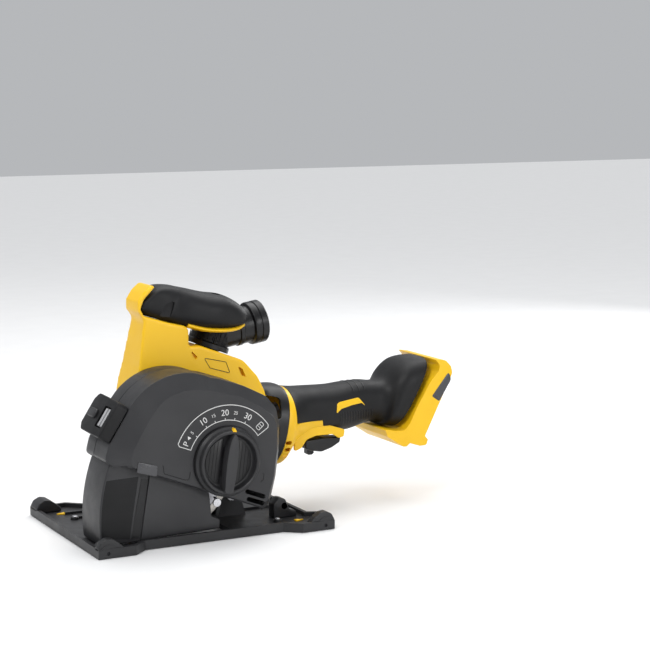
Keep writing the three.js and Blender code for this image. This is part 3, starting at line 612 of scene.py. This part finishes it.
# ---- Depth dial ----
dial_origin, dial_axis = (DIAL[0], 0, DIAL[1]), (0, -1, 0)
dial_profile = [(87.3, 15), (87.3, 34.2), (89.4, 34.6), (91.2, 34.2), (92.2, 33.2), (93.2, 31.9),
                (95.6, 31.4), (97.3, 31), (98, 30.3), (98, 28.4), (97.2, 27.6), (92.6, 26.8), (91.2, 25.6),
                (90.6, 23), (90.3, 15)]
dial_ring = turned("dial_ring", dial_profile, dial_origin, dial_axis, SHOE, 112)
finish(dial_ring, "dial", ["dial_knob"])
shaft_profile = [(83.6, 0), (83.6, 15.9), (90.5, 15.9), (90.5, 0)]
finish(turned("dial_shaft", shaft_profile, dial_origin, dial_axis), "dial")
BAR_ANGLE = math.radians(82.4)
bar_up = Vector((math.cos(BAR_ANGLE), math.sin(BAR_ANGLE)))
bar_side = Vector((bar_up.y, -bar_up.x))


def bar_point(along, aside):
    point = Vector(DIAL) + bar_up * along + bar_side * aside
    return point.x, point.y


grip_outline = [(-28.6, -4.4), (-29.6, 0), (-28.6, 4.4), (-14, 5.3), (0, 5.6), (12, 5.2), (22, 3.8),
                (28.2, 1.1), (28.2, -1.1), (22, -3.8), (12, -5.2), (0, -5.6), (-14, -5.3)]
grip_bar = slab("dial_grip", fillet([bar_point(*p) for p in grip_outline], 2, 4), -101, -89.6, GUARD, 1.5, 4)
finish(grip_bar, "dial")
BOWL_RADIUS, RIB_RADIUS = 24.6, 23.4
for side, label in ((-1, "left"), (1, "right")):
    scoop = []
    for degrees in range(-66, 67, 12):
        turn = math.radians(degrees)
        scoop.append(bar_point(BOWL_RADIUS * math.sin(turn), side * BOWL_RADIUS * math.cos(turn)))
    scoop += [bar_point(21.6, side * 7.4), bar_point(-21.6, side * 7.4)]
    finish(slab("dial_bowl_" + label, scoop, -91.4, -89.9, BLACK, 0.5), "dial")
    for k in range(4):
        aside = side * (9.6 + 3.6 * k)
        reach = math.sqrt(RIB_RADIUS ** 2 - aside ** 2)
        rib = [(x, -91.4, z) for x, z in (bar_point(-reach, aside), bar_point(reach, aside))]
        finish(wire(f"dial_rib_{k}_{label}", rib, 0.3, BLACK), "dial")
pointer = [bar_point(34.0, 0), bar_point(30.4, -2.3), bar_point(30.4, 2.3)]
flat_piece("dial_pointer", pointer, -98.1, -91, YELLOW, "dial", 0.2)


# ---- Sweep guard on the shoe ----
def top_edge(x):
    """The height of the sweep's sloping upper edge at x."""
    return 84.2 - (x + 106) * 0.392 + 8


LOWER_NEAR_Y, LOWER_FAR_Y = -77.0, -29.0
SWEEP_WALL, SPINDLE_ROOM = 2.5, 17.4
sweep_side = arc(PIVOT, SWEEP_RADIUS, 187.1, 158, 48)
sweep_side += [(-101, top_edge(-101)), (-32, top_edge(-32)), (-20, 61.5), (-3, 55), (0.4, 22.5), (9, 18.5),
               (9, 9.3)]
sweep_body = slab("sweep_body", sweep_side, LOWER_NEAR_Y, LOWER_FAR_Y, GUARD, 1.4, 4)
sweep_hollow = arc(PIVOT, SWEEP_RADIUS - SWEEP_WALL, 190, 152, 48) + [(40, 110), (40, -5)]

# The far wall is open along the path of the spindle as the machine plunges.
spindle_reach = math.hypot(SPINDLE[0] - PIVOT[0], SPINDLE[1] - PIVOT[1])
spindle_from = math.degrees(math.atan2(SPINDLE[1] - PIVOT[1], SPINDLE[0] - PIVOT[0]))
spindle_path = arc(PIVOT, spindle_reach + SPINDLE_ROOM, spindle_from - 8, spindle_from + 26, 16)
path_end = (spindle_path[-1][0] + SPINDLE_ROOM, spindle_path[-1][1])
spindle_path += arc(path_end, SPINDLE_ROOM, 180, 360, 12)[1:]
spindle_path += arc(PIVOT, spindle_reach - SPINDLE_ROOM, spindle_from + 26, spindle_from - 8, 16)[1:]
far_wall = (LOWER_FAR_Y - 4, LOWER_FAR_Y + 2)
cut_all(sweep_body, [
    slab("hollow", sweep_hollow, LOWER_NEAR_Y + SWEEP_WALL, LOWER_FAR_Y - SWEEP_WALL),
    block("spindle_room", (SPINDLE[0] - 18, far_wall[0], SPINDLE[1] - 8),
          (SPINDLE[0] + 14, far_wall[1], 120)),
    slab("spindle_path", spindle_path, *far_wall),
    slab("wall_groove", [(-74.5, 4), (-63, 75), (-72.5, 75), (-85, 4)], LOWER_NEAR_Y - 2, LOWER_NEAR_Y + 1.8),
])
smooth(sweep_body, 30)
finish(sweep_body, "shoe", ["lower_guard"])

# A thin dark grey inlay on the near wall's front band, between the arc and the groove: painted shade for the
# concave band.
sweep_painted_shade_band = arc(PIVOT, SWEEP_RADIUS - 1.6, 164.6, 184.6, 24) + [(-85.6, 10), (-75.6, 70)]
flat_piece("sweep_painted_shade_band", sweep_painted_shade_band, LOWER_NEAR_Y - 0.03, LOWER_NEAR_Y + 0.5, GUARD_DARK, "shoe")
# A black sheet at the bottom of the near wall's groove: painted shade in the recess.
sweep_groove_painted_shade = [(-75.2, 10), (-64.4, 66), (-71.6, 67), (-84, 10)]
flat_piece("sweep_groove_painted_shade", sweep_groove_painted_shade, LOWER_NEAR_Y + 1.4, LOWER_NEAR_Y + 1.9, BLACK, "shoe")


# ---- Front housing: the tall column and the saddle under the dust spigot ----
HOUSING_NEAR_Y, HOUSING_FAR_Y = -25.6, 34.0
SPIGOT = Vector((36.0, 12.0, 174.2))
SPIGOT_AXIS = Vector((math.sin(math.radians(21)), 0, math.cos(math.radians(21))))
column_outline = fillet(
    [(-56, 104), (0.8, 110), (0.8, 202.5), (-19, 207), (-46.6, 216), (-49.8, 222.4), (-46, 232),
     (-35, 242.8), (-35.6, 245.4), (-39.5, 244.8), (-46.6, 238.4), (-52.3, 230), (-52.6, 220),
     (-46.4, 212), (-52, 165), (-57.2, 135)],
    [2, 2, 8, 6, 3, 3, 8, 1, 1, 4, 8, 6, 6, 12, 30, 30])
column = slab("column", column_outline, HOUSING_NEAR_Y + 0.1, HOUSING_FAR_Y - 0.1, YELLOW)
column_taper = [(HOUSING_NEAR_Y, 100), (30, 100), (26, 150), (12, 200), (8, 212), (8, 250),
                (HOUSING_NEAR_Y, 250)]
boolean(column, side_slab("taper", column_taper, -70, 20), "INTERSECT")
saddle_outline = fillet([(-40, 105), (86, 120.5), (84, 131), (76, 147), (60, 164.5), (13, 182.5),
                         (-30, 182.5), (-44, 160)], [2, 4, 10, 14, 18, 10, 20, 10])
saddle = slab("saddle", saddle_outline, HOUSING_NEAR_Y + 0.1, HOUSING_FAR_Y - 0.1, YELLOW, 5, 4)
housing = melt("front_housing_skin", [column, saddle], 1.3, 5, YELLOW)
seat = turned("spigot_seat", [(0, 0), (0, 23), (40, 23), (40, 0)], SPIGOT, SPIGOT_AXIS)
bore = turned("spigot_bore", [(-16, 0), (-16, 15.6), (4, 15.6), (4, 0)], SPIGOT, SPIGOT_AXIS)
window = block("dust_window", (-48, HOUSING_NEAR_Y - 1, 116), (-20, HOUSING_NEAR_Y + 9, 144))
vent = slab("side_vent", fillet([(53.2, 159.6), (58.8, 155.5), (63.2, 146), (57.2, 150)], 1.6, 3),
            HOUSING_NEAR_Y - 2, HOUSING_NEAR_Y + 6)
pocket = slab("side_pocket", fillet([(2.6, 178.6), (9.8, 171.4), (7.9, 168.9), (4.6, 172.6)], 1.2, 3),
              HOUSING_NEAR_Y - 2, HOUSING_NEAR_Y + 4)
cut_all(housing, [seat, bore, window, vent, pocket])
smooth(housing, 40)
finish(housing, "machine", ["front_housing"])
label_frame = fillet([(16.6, 170), (40.5, 164.2), (44.8, 152.7), (23, 159.5)], 1.2, 3)
label_line = [(x, HOUSING_NEAR_Y - 0.05, z) for x, z in label_frame]
finish(wire("label_frame", label_line, 0.3, BLACK, True), "machine")

# ---- Dust spigot and swivelling elbow ----
ring_profile = [(0.4, 15.5), (0.4, 22.5), (5, 22.5), (6.2, 21.6), (6.2, 15.5)]
spigot_ring = turned("spigot_ring", ring_profile, SPIGOT, SPIGOT_AXIS, BLACK)
finish(spigot_ring, "machine", ["dust_spigot"])
KNEE_RISE = 16
KNEE = SPIGOT + SPIGOT_AXIS * KNEE_RISE
OUTLET = Vector((math.cos(math.radians(9)), 0, math.sin(math.radians(9))))
OUTLET_LENGTH = 56.0


def bent_tube(name, near, far, start, end, material):
    """A round bar out of the spigot, a ball at the knee and a round bar along the outlet."""
    riser = [(start, 0), (start, near), (KNEE_RISE, near), (KNEE_RISE, 0)]
    bend = turned(name, riser, SPIGOT, SPIGOT_AXIS, material, 72)
    turns = [math.pi * k / 24 for k in range(25)]
    ball = [(-(near + 0.1) * math.cos(turn), (near + 0.1) * math.sin(turn)) for turn in turns]
    boolean(bend, turned("ball", ball, KNEE, (0, 1, 0), material, 60), "UNION")
    run = [(0, 0), (0, near), (end, far), (end, 0)]
    return boolean(bend, turned("outlet", run, KNEE, OUTLET, material, 66), "UNION")


elbow = bent_tube("dust_elbow_skin", 19, 18.4, 6.8, OUTLET_LENGTH - 1, BLACK)
CUFF_FROM = OUTLET_LENGTH - 15
cuff = [(24, 12), (24, 18.4), (25, 19.9), (29, 19.9), (30, 19), (CUFF_FROM - 1, 19), (CUFF_FROM, 21.6),
        (CUFF_FROM + 1, 22), (CUFF_FROM + 5.6, 22), (CUFF_FROM + 6.2, 21.1), (CUFF_FROM + 7.4, 21.1),
        (CUFF_FROM + 8, 22), (OUTLET_LENGTH - 1, 22), (OUTLET_LENGTH, 21.2), (OUTLET_LENGTH, 12)]
boolean(elbow, turned("cuff", cuff, KNEE, OUTLET, BLACK, 96), "UNION")
neck = [(6.8, 12), (6.8, 20.4), (8.4, 20.4), (9.2, 19.2), (14, 19.2), (14, 12)]
boolean(elbow, turned("neck", neck, SPIGOT, SPIGOT_AXIS, BLACK, 96), "UNION")
boolean(elbow, bent_tube("elbow_bore", 16.2, 16, 3, OUTLET_LENGTH + 3, BLACK))
smooth(elbow, 32)
finish(elbow, "elbow", ["dust_elbow"])

# ---- Fore grip ----
GRIP_Y = -6.0
grip_rings = [(x, low, high, half, GRIP_Y, lean, square) for x, low, high, half, lean, square in (
    (-40.6, 223, 242.2, 17.2, 1.18, 3.4), (-36, 218.5, 243.3, 19.2, 1.1, 3.4),
    (-22, 210, 242.6, 19.8, 0.6, 3.0), (-12, 206.8, 240.8, 19.4, 0.42, 2.9),
    (0, 202, 238.4, 24, 0.3, 2.7), (20, 196.5, 233.8, 27, 0.2, 2.5),
    (40, 194.6, 231, 27, 0.05, 2.4), (54, 195.2, 225, 24, 0, 2.4), (64, 197.6, 217.6, 17.5, 0, 2.3),
    (70, 201, 211.5, 9, 0, 2.1))]


def grown(rings, grow):
    """The rings of a loft, moved outwards by grow."""
    return [(x, low - grow, high + grow, half + grow, y, lean, square)
            for x, low, high, half, y, lean, square in rings]


grip = loft("fore_grip_skin", grip_rings, RUBBER, 5, 96)
waist_outline = fillet([(-31, 190), (-30.5, 212), (-24, 227), (-13, 229), (-18, 214), (-16, 190)],
                       [0, 6, 6, 3, 8, 0])
waist = slab("waist", waist_outline, -40, -22.9, RUBBER, 1.2)
column_room = slab("column_room", inset(column_outline, -0.35), -40, HOUSING_FAR_Y + 1)
well_profile = [(-8.6, 0), (-8.6, 4.4), (9, 5.0), (9, 0)]
screw_well = turned("screw_well", well_profile, (36, -12, 228), (0, 0, 1), RUBBER, 48)
cut_all(grip, [waist, column_room, screw_well])


def elbow_room(swing):
    """The room the elbow needs when it is turned by swing degrees."""
    room = bent_tube("elbow_room", 20.8, 20.4, 4, OUTLET_LENGTH - 14, RUBBER)
    room.data.transform(Matrix.Translation(SPIGOT * MM) @ Matrix.Rotation(math.radians(swing), 4, SPIGOT_AXIS)
                        @ Matrix.Translation(SPIGOT * -MM))
    return room


for swing in range(-7, 81, 11):
    boolean(grip, elbow_room(swing))
keep_largest(grip)
smooth(grip, 34)
finish(grip, "machine", ["fore_grip"])
lip_rings = [(x, low - 1.6, low + 5, half - 3.2, y, 0, square)
             for x, low, high, half, y, lean, square in grip_rings[4:9]]
grip_lip = loft("fore_grip_lip", lip_rings, YELLOW, 5, 96)
boolean(grip_lip, block("elbow_side", (-80, -16.6, 150), (120, 60, 260)))
smooth(grip_lip, 34)
finish(grip_lip, "machine")

# ---- Motor housing and rear handle ----
body_rings = [(x, low, high, half, BODY_Y, lean, square) for x, low, high, half, lean, square in (
    (103.5, 47, 132, 38, 0, 2.3), (112, 48, 131, 39, 0, 2.3), (118, 56, 128.5, 38, 0, 2.3),
    (126, 66, 127, 33, 0, 2.3), (136, 71.5, 126, 29.5, 0, 2.4), (145, 75, 125.7, 28.5, 0, 2.4),
    (175, 75.5, 125, 27, 0, 2.4), (194, 76, 126.5, 24.5, 0, 2.4), (214, 80.5, 126.9, 22, 0, 2.4),
    (228, 82.5, 125.2, 22, 0.1, 2.5), (235, 81, 128.5, 25.5, 0.2, 2.7), (240.5, 79.4, 139, 31.5, 0.32, 2.9),
    (246, 78.2, 145.8, 34.5, 0.42, 3.1), (254, 77.6, 148, 36, 0.5, 3.3), (263, 76.5, 148, 36, 0.57, 3.5))]
ACROSS = (-60, 80)
housing_region = [(101, 40), (176, 40), (176, 82), (157, 86), (155, 92.5), (121, 93), (119.2, 140),
                  (118.2, 140), (104.4, 61)]
handle_region = fillet([(119.4, 160), (121.4, 93.3), (155.3, 92.8), (157.3, 86.3), (176.3, 82.3), (176.3, 40),
                        (310, 40), (310, 160)], [0, 4, 3, 2, 4, 0, 0, 0])


def uneven_loft(name, rings, material, spacing=2.0, segments=112):
    """A loft whose rings are unevenly spaced along X: the rings are resampled at even steps first."""
    positions = [ring[0] for ring in rings]
    steps = int((positions[-1] - positions[0]) / spacing)
    resampled = []
    for step in range(steps + 1):
        x = positions[0] + (positions[-1] - positions[0]) * step / steps
        i = max(k for k in range(len(rings) - 1) if positions[k] <= x + 1e-9)
        span = positions[i + 1] - positions[i]
        f = (x - positions[i]) / span
        values = [x]
        for column in list(zip(*rings))[1:]:
            slope = []
            for k in (i, i + 1):
                low, high = max(0, k - 1), min(len(rings) - 1, k + 1)
                slope.append((column[high] - column[low]) / (positions[high] - positions[low]) * span)
            a, b = column[i], column[i + 1]
            values.append((2 * f ** 3 - 3 * f ** 2 + 1) * a + (f ** 3 - 2 * f ** 2 + f) * slope[0]
                          + (3 * f ** 2 - 2 * f ** 3) * b + (f ** 3 - f ** 2) * slope[1])
        resampled.append(tuple(values))
    return loft(name, resampled, material, 1, segments)


def body_part(name, region, material, edge):
    """The part of the body's skin inside an XZ region, with room for the paddle."""
    piece = uneven_loft(name, body_rings, material)
    boolean(piece, slab("region", region, *ACROSS), "INTERSECT")
    paddle_room = block("paddle_room", (136.8, -8.8, 30), (183, 32.8, 72))
    boolean(piece, paddle_room)
    return round_edges(piece, edge, 2, 40)


VENT_LOW, VENT_STEP, VENT_HEIGHT = 58, 7.4, 4
motor_skin = body_part("motor_housing_skin", housing_region, YELLOW, 0.8)
for y in (BODY_Y - 36, BODY_Y + 36):
    for k in range(3):
        low, high = VENT_LOW + VENT_STEP * k, VENT_LOW + VENT_STEP * k + VENT_HEIGHT
        vent_outline = fillet([(107.2, low), (114.2, low), (114.2, high), (107.2, high)], 1.9, 4)
        boolean(motor_skin, slab("vent", vent_outline, y - 9, y + 9))
smooth(motor_skin, 34)
finish(motor_skin, "machine", ["motor_housing"])
collar_rings = [(91, 50, 130, 34, BODY_Y, 0, 2.3), (96, 47, 131.4, 37, BODY_Y, 0, 2.3), *body_rings[:4]]
collar_region = [(88, 40), (100.6, 40), (104, 61), (117.8, 140), (88, 140)]
collar_core = [(x + shift, *rest) for shift, (x, *rest) in zip((-3, 0, 0, 0, 0, 3), grown(collar_rings, -3))]
near_window = fillet([(86, 101), (102, 101), (105, 121), (92, 124), (86, 124)], [0, 3, 4, 4, 0])
low_window = fillet([(86, 66), (98, 66), (100.5, 94), (86, 94)], [0, 3, 3, 0])
collar = uneven_loft("collar_skin", grown(collar_rings, 0.3), BLACK)
boolean(collar, slab("region", collar_region, *ACROSS), "INTERSECT")
cut_all(collar, [
    uneven_loft("core", collar_core, BLACK),
    slab("near_window", near_window, -60, -2),
    slab("low_window", low_window, -60, 2),
])
round_edges(collar, 0.7, 2, 40)
finish(collar, "machine")
handle_skin = body_part("handle_skin", handle_region, RUBBER, 0.9)
finish(handle_skin, "machine", ["handle_left", "handle_right"])


def body_section(x):
    """The measures of the body's ring at x, read between the rings on either side of it."""
    i = max(k for k in range(len(body_rings) - 1) if body_rings[k][0] <= x)
    before, after = body_rings[i], body_rings[i + 1]
    f = (x - before[0]) / (after[0] - before[0])
    return [before[k] + (after[k] - before[k]) * f for k in range(1, 7)]


def body_side(x, z, lift, side):
    """The point on the body's skin at (x, z), lifted off it by lift."""
    low, high, half, y, lean, square = body_section(x)
    rise = (z - (low + high) / 2) / ((high - low) / 2)
    return x, y + side * (half * (1 - min(1, abs(rise)) ** square) ** (1 / square) + lift), z


def side_patch(name, outline, lift, thick, material, side):
    """A thin inlay that follows the side of the handle."""
    prism = slab(name, outline, *sorted((BODY_Y, BODY_Y + side * 60)), material)
    boolean(prism, uneven_loft("skin", grown(body_rings, lift), material), "INTERSECT")
    boolean(prism, uneven_loft("core", grown(body_rings, lift - thick), material))
    return finish(round_edges(prism, 0.3, 2, 40), "machine")


flash_outline = fillet([(171.4, 98.2), (172.6, 108.6), (176.5, 110), (200, 112.4), (208.7, 102.4),
                        (203.6, 106.4), (191.7, 105.4), (177.3, 102.8)], [1, 3, 3, 4, 0.6, 2, 6, 2], 4)
for side, label in ((-1, "near"), (1, "far")):
    side_patch("handle_flash_" + label, flash_outline, 0.45, 1.4, YELLOW, side)
    for k in range(13):
        low = Vector((178.0 + 3.4 * k, 85.0 + 0.35 * k))
        high = Vector((176.5 + 3.4 * k, 99.0 - 0.1 * k))
        points = [body_side(*(low + (high - low) * t / 6), -0.15, side) for t in range(7)]
        finish(wire(f"handle_rib_{label}_{k}", points, 0.55, BLACK), "machine")
for x in (196, 203, 210):
    low, high, half, y, lean, square = body_section(x)
    over = []
    for t in range(-8, 9):
        angle = math.radians(90 + t * 6.5)
        aside = math.copysign(abs(math.cos(angle)) ** (2 / square), math.cos(angle))
        rise = math.sin(angle) ** (2 / square)
        over.append((x, y + half * aside, (low + high) / 2 + (high - low) / 2 * rise + 0.05))
    finish(wire(f"handle_top_ring_{x}", over, 0.5, BLACK), "machine")

# ---- Battery foot ----
foot_outline = [(223, 78.5), (227, 70), (245.7, 58), (249.5, 57.8), (253.7, 61), (266, 57), (274, 57.2),
                (275.9, 63), (272.2, 67.1), (305.8, 132.5), (304, 140), (297, 147), (284, 149),
                (290, 142), (288.9, 136),
                (277.8, 123.9), (261.4, 97.3), (253.5, 82), (247.4, 75.6), (237.6, 75.6)]
foot_radii = [1, 4, 2, 1, 1, 3, 3, 1.5, 2, 8, 6, 6, 1, 4, 6, 10, 14, 8, 6, 6]
foot = slab("battery_foot_skin", fillet(foot_outline, foot_radii), FOOT_NEAR_Y, FOOT_FAR_Y, YELLOW, 3, 5)
FACE_LOW = Vector((272.2, 67.1))
FACE_ALONG = Vector((0.457, 0.889))
FACE_INWARD = Vector((-0.889, 0.457))


def on_foot(along, inward):
    return tuple(FACE_LOW + FACE_ALONG * along + FACE_INWARD * inward)


rail_groove = [on_foot(-20, 5), on_foot(52, 5), on_foot(52, 8.6), on_foot(-20, 8.6)]
cut_all(foot, [
    slab("battery_room", [on_foot(-20, -3), on_foot(57, -3), on_foot(57, 11), on_foot(-20, 11)], -13, 37),
    slab("rail_near", rail_groove, -16, -12),
    slab("rail_far", rail_groove, 36, 40),
])
smooth(foot, 32)
finish(foot, "machine", ["battery_foot"])
foot_label = fillet([(301.2, 134.6), (280.2, 109.4), (289.4, 103.2), (304, 125.6)], [4, 2, 2, 5], 4)
flat_piece("blank_foot_label", foot_label, FOOT_NEAR_Y - 0.4, FOOT_NEAR_Y + 1, LABEL, "machine", 0.3)
flat_piece("blank_foot_label_far", foot_label, FOOT_FAR_Y - 1, FOOT_FAR_Y + 0.4, LABEL, "machine", 0.3)

cheek = fillet([(124, 62), (131.9, 65.1), (138.2, 73.6), (148.9, 76.6), (169, 76.4), (175.6, 71.6),
                (181.6, 72.6), (183, 80), (165, 86), (124, 86)], [2, 4, 8, 10, 8, 3, 2, 3, 4, 2])
for label, y0, y1 in (("near", -12.4, -9.1), ("far", 33.1, 36.4)):
    finish(slab("paddle_cheek_" + label, cheek, y0, y1, YELLOW, 0.8, 3), "machine")

# ---- Trigger paddle ----
paddle_outline = fillet([(138.6, 62.6), (147, 59.6), (158, 57.6), (170, 61), (179.6, 66), (180.6, 71.4),
                         (160, 72.4), (139, 71)], [3, 8, 10, 8, 3, 2, 2, 2])
paddle = slab("paddle_skin", paddle_outline, -8, 32, BLACK, 1.6, 4)
cut_all(paddle, [block("lever_room", (143, 6, 50), (190, 18, 80)),
                 slab("pin_room", circle((170, 66), 2.1, 24), -6.5, 30.5),
                 slab("lever_pin_room", circle((153, 62.5), 1.5, 24), 3, 21)])
smooth(paddle, 34)
finish(paddle, "paddle", ["paddle"])

# ---- Latch ----
LATCH_ORIGIN = Vector((-94.9, -54, 121.1))
LATCH_TURN = Matrix.Rotation(math.radians(33), 4, "Y")


def at_latch(piece, body, nodes=()):
    """Places a piece built about the latch's own origin, where -X faces out of the guard."""
    piece.data.transform(Matrix.Translation(LATCH_ORIGIN * MM) @ LATCH_TURN)
    return finish(piece, body, nodes)


lever_outline = fillet([(-28, -20), (22, -19), (28.2, -13), (28.2, 13), (23, 20), (-28, 19)],
                       [4, 5, 5, 5, 5, 5])
lever = side_slab("latch_lever_skin", lever_outline, -14, -1.5, GUARD_DARK, 1.4)
cut_all(lever, [
    block("pocket", (-8.5, -23.5, -12.5), (2, 12, 12.5)),
    side_slab("window", fillet([(-21, -11), (-5, -11), (-5, 11), (-21, 11)], 1.2, 3), -16, -8),
    block("pin_room", (-8.4, 21.1, -20), (-4.6, 24.9, 20)),
    block("heel_room", (-5.2, 21, -24), (2, 34, 24)),
])
smooth(lever, 34)
at_latch(lever, "latch", ["latch_lever"])
tab_outline = fillet([(2.5, -4.6), (20, -4.6), (20, 4.6), (2.5, 4.6)], 4.2, 6)
at_latch(side_slab("latch_tab", tab_outline, -16.6, -13.4, GUARD, 1.4), "latch")
for k, (y0, y1) in enumerate(((-18.4, -14.6), (-11.4, -7.6))):
    hook = [(y0, -9.4), (y1, -9.4), (y1, 9.4), (y0, 9.4)]
    at_latch(side_slab(f"latch_hook_{k}", hook, -13, -8.6, LIGHT_GREY, 0.5), "latch")

# ---- Discs with a segmented diamond rim ----
SEGMENTS, SEGMENT_ANGLE, SLOT_ANGLE, DISC_RADIUS = 10, 36, 1.6, 62.5
for name, y0, y1 in (("near", -66.7, -64.3), ("far", -37.7, -35.3)):
    starts = [SEGMENT_ANGLE * k for k in range(SEGMENTS)]
    rim = []
    for start in starts:
        rim += arc(SPINDLE, DISC_RADIUS - 0.1, start + SLOT_ANGLE, start + SEGMENT_ANGLE - SLOT_ANGLE, 8)
        rim += [around(SPINDLE, r, start + a) for r, a in ((54, 34.9), (52.6, 36), (54, 37.1))]
    disc = slab(f"disc_{name}_skin", rim, y0 + 0.5, y1 - 0.5, DISC)
    boolean(disc, slab("bore", circle(SPINDLE, 7.2, 47), y0 - 2, y1 + 2))
    smooth(disc)
    finish(disc, "spindle", [f"disc_{name}"])
    for k, start in enumerate(starts):
        low, high = start + SLOT_ANGLE, start + SEGMENT_ANGLE - SLOT_ANGLE
        outline = arc(SPINDLE, DISC_RADIUS, low, high, 8) + arc(SPINDLE, DISC_RADIUS - 7, high, low, 8)
        finish(slab(f"disc_{name}_segment_{k}", outline, y0, y1, CAST, 0.3, 2), "spindle")

# ---- Shoe details ----
marks = ((-104, -70, [(0, 0), (9, 3), (9, -3)]), (-108, 66, [(0, 0), (9, 3), (9, -3)]),
         (104, -70, [(0, 0), (-9, 3), (-9, -3)]))
for k, (x, y, points) in enumerate(marks):
    outline = [(x + dx, y + dy) for dx, dy in points]
    finish(plate(f"shoe_mark_{k}", outline, 4.6, 6.2, YELLOW, 0.25), "shoe")
boss_profile = [(0, 0), (0, 4.2), (2.4, 4.0), (2.9, 3.5), (2.9, 0)]
screw_profile = [(0, 0), (0, 2.6), (0.8, 2.5), (1.1, 2.1), (1.1, 1.0), (0.4, 0.9), (0.4, 0)]
for k, (x, y) in enumerate(((-98, 40), (-98, 2), (92, 70), (92, -40), (-60, 78), (30, 78), (78, -64))):
    finish(turned(f"shoe_boss_{k}", boss_profile, (x, y, 4.9), (0, 0, 1), SHOE, 40), "shoe")
    finish(turned(f"shoe_screw_{k}", screw_profile, (x, y, 7.7), (0, 0, 1), STEEL, 36), "shoe")

pod_outline = [(-12, 5.5), (-12, 10), (-9, 15.4), (-3, 18.4), (3, 17.6), (9, 13.6), (14, 9), (15, 5.5)]
for label, y0, y1 in (("near", -97.2, -88.3), ("far", 77.5, 97.2)):
    for row, end in (("front", -1), ("rear", 1)):
        outline = [(end * (113 - x), z) for x, z in pod_outline]
        finish(slab(f"shoe_pod_{row}_{label}", fillet(outline, 4), y0, y1, SHOE, 1.6, 4), "shoe")
bracket = fillet([(80, 5), (106, 5), (105, 11), (98, 13), (93, 24), (86, 26), (80, 20)],
                 [0, 0, 3, 5, 4, 4, 3])
for label, y0, y1 in (("near", -52, -40), ("far", 62, 74)):
    finish(slab("shoe_bracket_" + label, bracket, y0, y1, SHOE, 1, 3), "shoe")
bar_profile = [(0, 0), (0, 3.4), (18, 3.4), (18, 0)]
finish(turned("shoe_bracket_bar", bar_profile, (92, -52, 17), (0, 1, 0), STEEL, 48), "shoe")

# ---- CAD nodes that stay in view: rounded edges and their own materials ----
NODE_BEVELS = {"shoe": 0.7, "gear_case": 0.5, "gear_case_cap": 0.5, "latch_catch": 0.4, "lock_off_lever": 0.5,
               "lock_button": 0.5, "control_board": 0.2, "switch_module": 0.5}
slot_of = {entry["node"]: entry["material_slot"] for entry in frame["record"]["subparts"]}
DARK_STEEL = metal("blackened_steel", (0.02, 0.02, 0.022), (0.04, 0.04, 0.043), 0.45)
for name, node in frame["nodes"].items():
    if name in replaced_nodes:
        continue
    node.data.materials.clear()
    node.data.materials.append(DARK_STEEL if name.startswith("axle") else SLOT_MATERIALS[slot_of[name]])
    if name == "gear_case":
        smooth(node, 50)
        continue
    rounding = node.modifiers.new("edges", "BEVEL")
    rounding.width = NODE_BEVELS.get(name, 0.15) * MM
    rounding.segments = 2
    rounding.limit_method = "ANGLE"
    rounding.angle_limit = math.radians(35)
    rounding.use_clamp_overlap = True
    node.data.shade_smooth()
    node.data.set_sharp_from_angle(angle=math.radians(38))

# ---- Floor, light and camera ----
floor_material = plastic("floor_pale", (0.78, 0.78, 0.78), (0.80, 0.80, 0.80), 0.75, 60, 0.02)
FLOOR_REACH, FLOOR_Z = 6000, -0.6
floor_corners = [(x * FLOOR_REACH, y * FLOOR_REACH, FLOOR_Z) for x, y in ((-1, -1), (1, -1), (1, 1), (-1, 1))]
floor = new_object("floor", mesh_from(floor_corners, [(0, 1, 2, 3)]), floor_material)


LIGHT_TARGET = (0.04, 0, 0.08)


def area_light(name, place, size, power):
    lamp = bpy.data.lights.new(name, "AREA")
    lamp.shape = "RECTANGLE"
    lamp.size, lamp.size_y = size
    lamp.energy = power
    holder = link(name, lamp)
    holder.location = place
    holder.rotation_euler = (Vector(LIGHT_TARGET) - Vector(place)).to_track_quat("-Z", "Y").to_euler()


area_light("key_light", (-1.0, -0.7, 1.5), (0.7, 0.7), 15)
area_light("front_light", (0.7, -1.9, 0.6), (0.7, 0.5), 9)
area_light("top_light", (0.3, 0.5, 1.7), (1.2, 1.2), 9)
sun = bpy.data.lights.new("sky_light", "SUN")
sun.energy = 1.3
sun.angle = math.radians(70)
sky = link("sky_light", sun)
sky.rotation_euler = (math.radians(-12), math.radians(18), 0)
area_light("rim_light", (1.4, 0.7, 0.7), (0.6, 1.0), 7)
world = bpy.data.worlds.new("studio")
world.use_nodes = True
world.node_tree.nodes["Background"].inputs["Color"].default_value = (0.9, 0.92, 0.95, 1)
world.node_tree.nodes["Background"].inputs["Strength"].default_value = 0.52
bpy.context.scene.world = world
bpy.context.scene.view_settings.view_transform = "Standard"

CAMERA_DIP, CAMERA_TURN = math.radians(7.976), math.radians(-27.962)
camera_data = bpy.data.cameras.new("camera")
camera_data.lens = 99.7
camera_data.sensor_width = 36
camera = link("camera", camera_data)
camera.location = (-0.704, -1.6387, 0.450)
camera.rotation_euler = (math.pi / 2 - CAMERA_DIP, 0, CAMERA_TURN)
bpy.context.scene.camera = camera
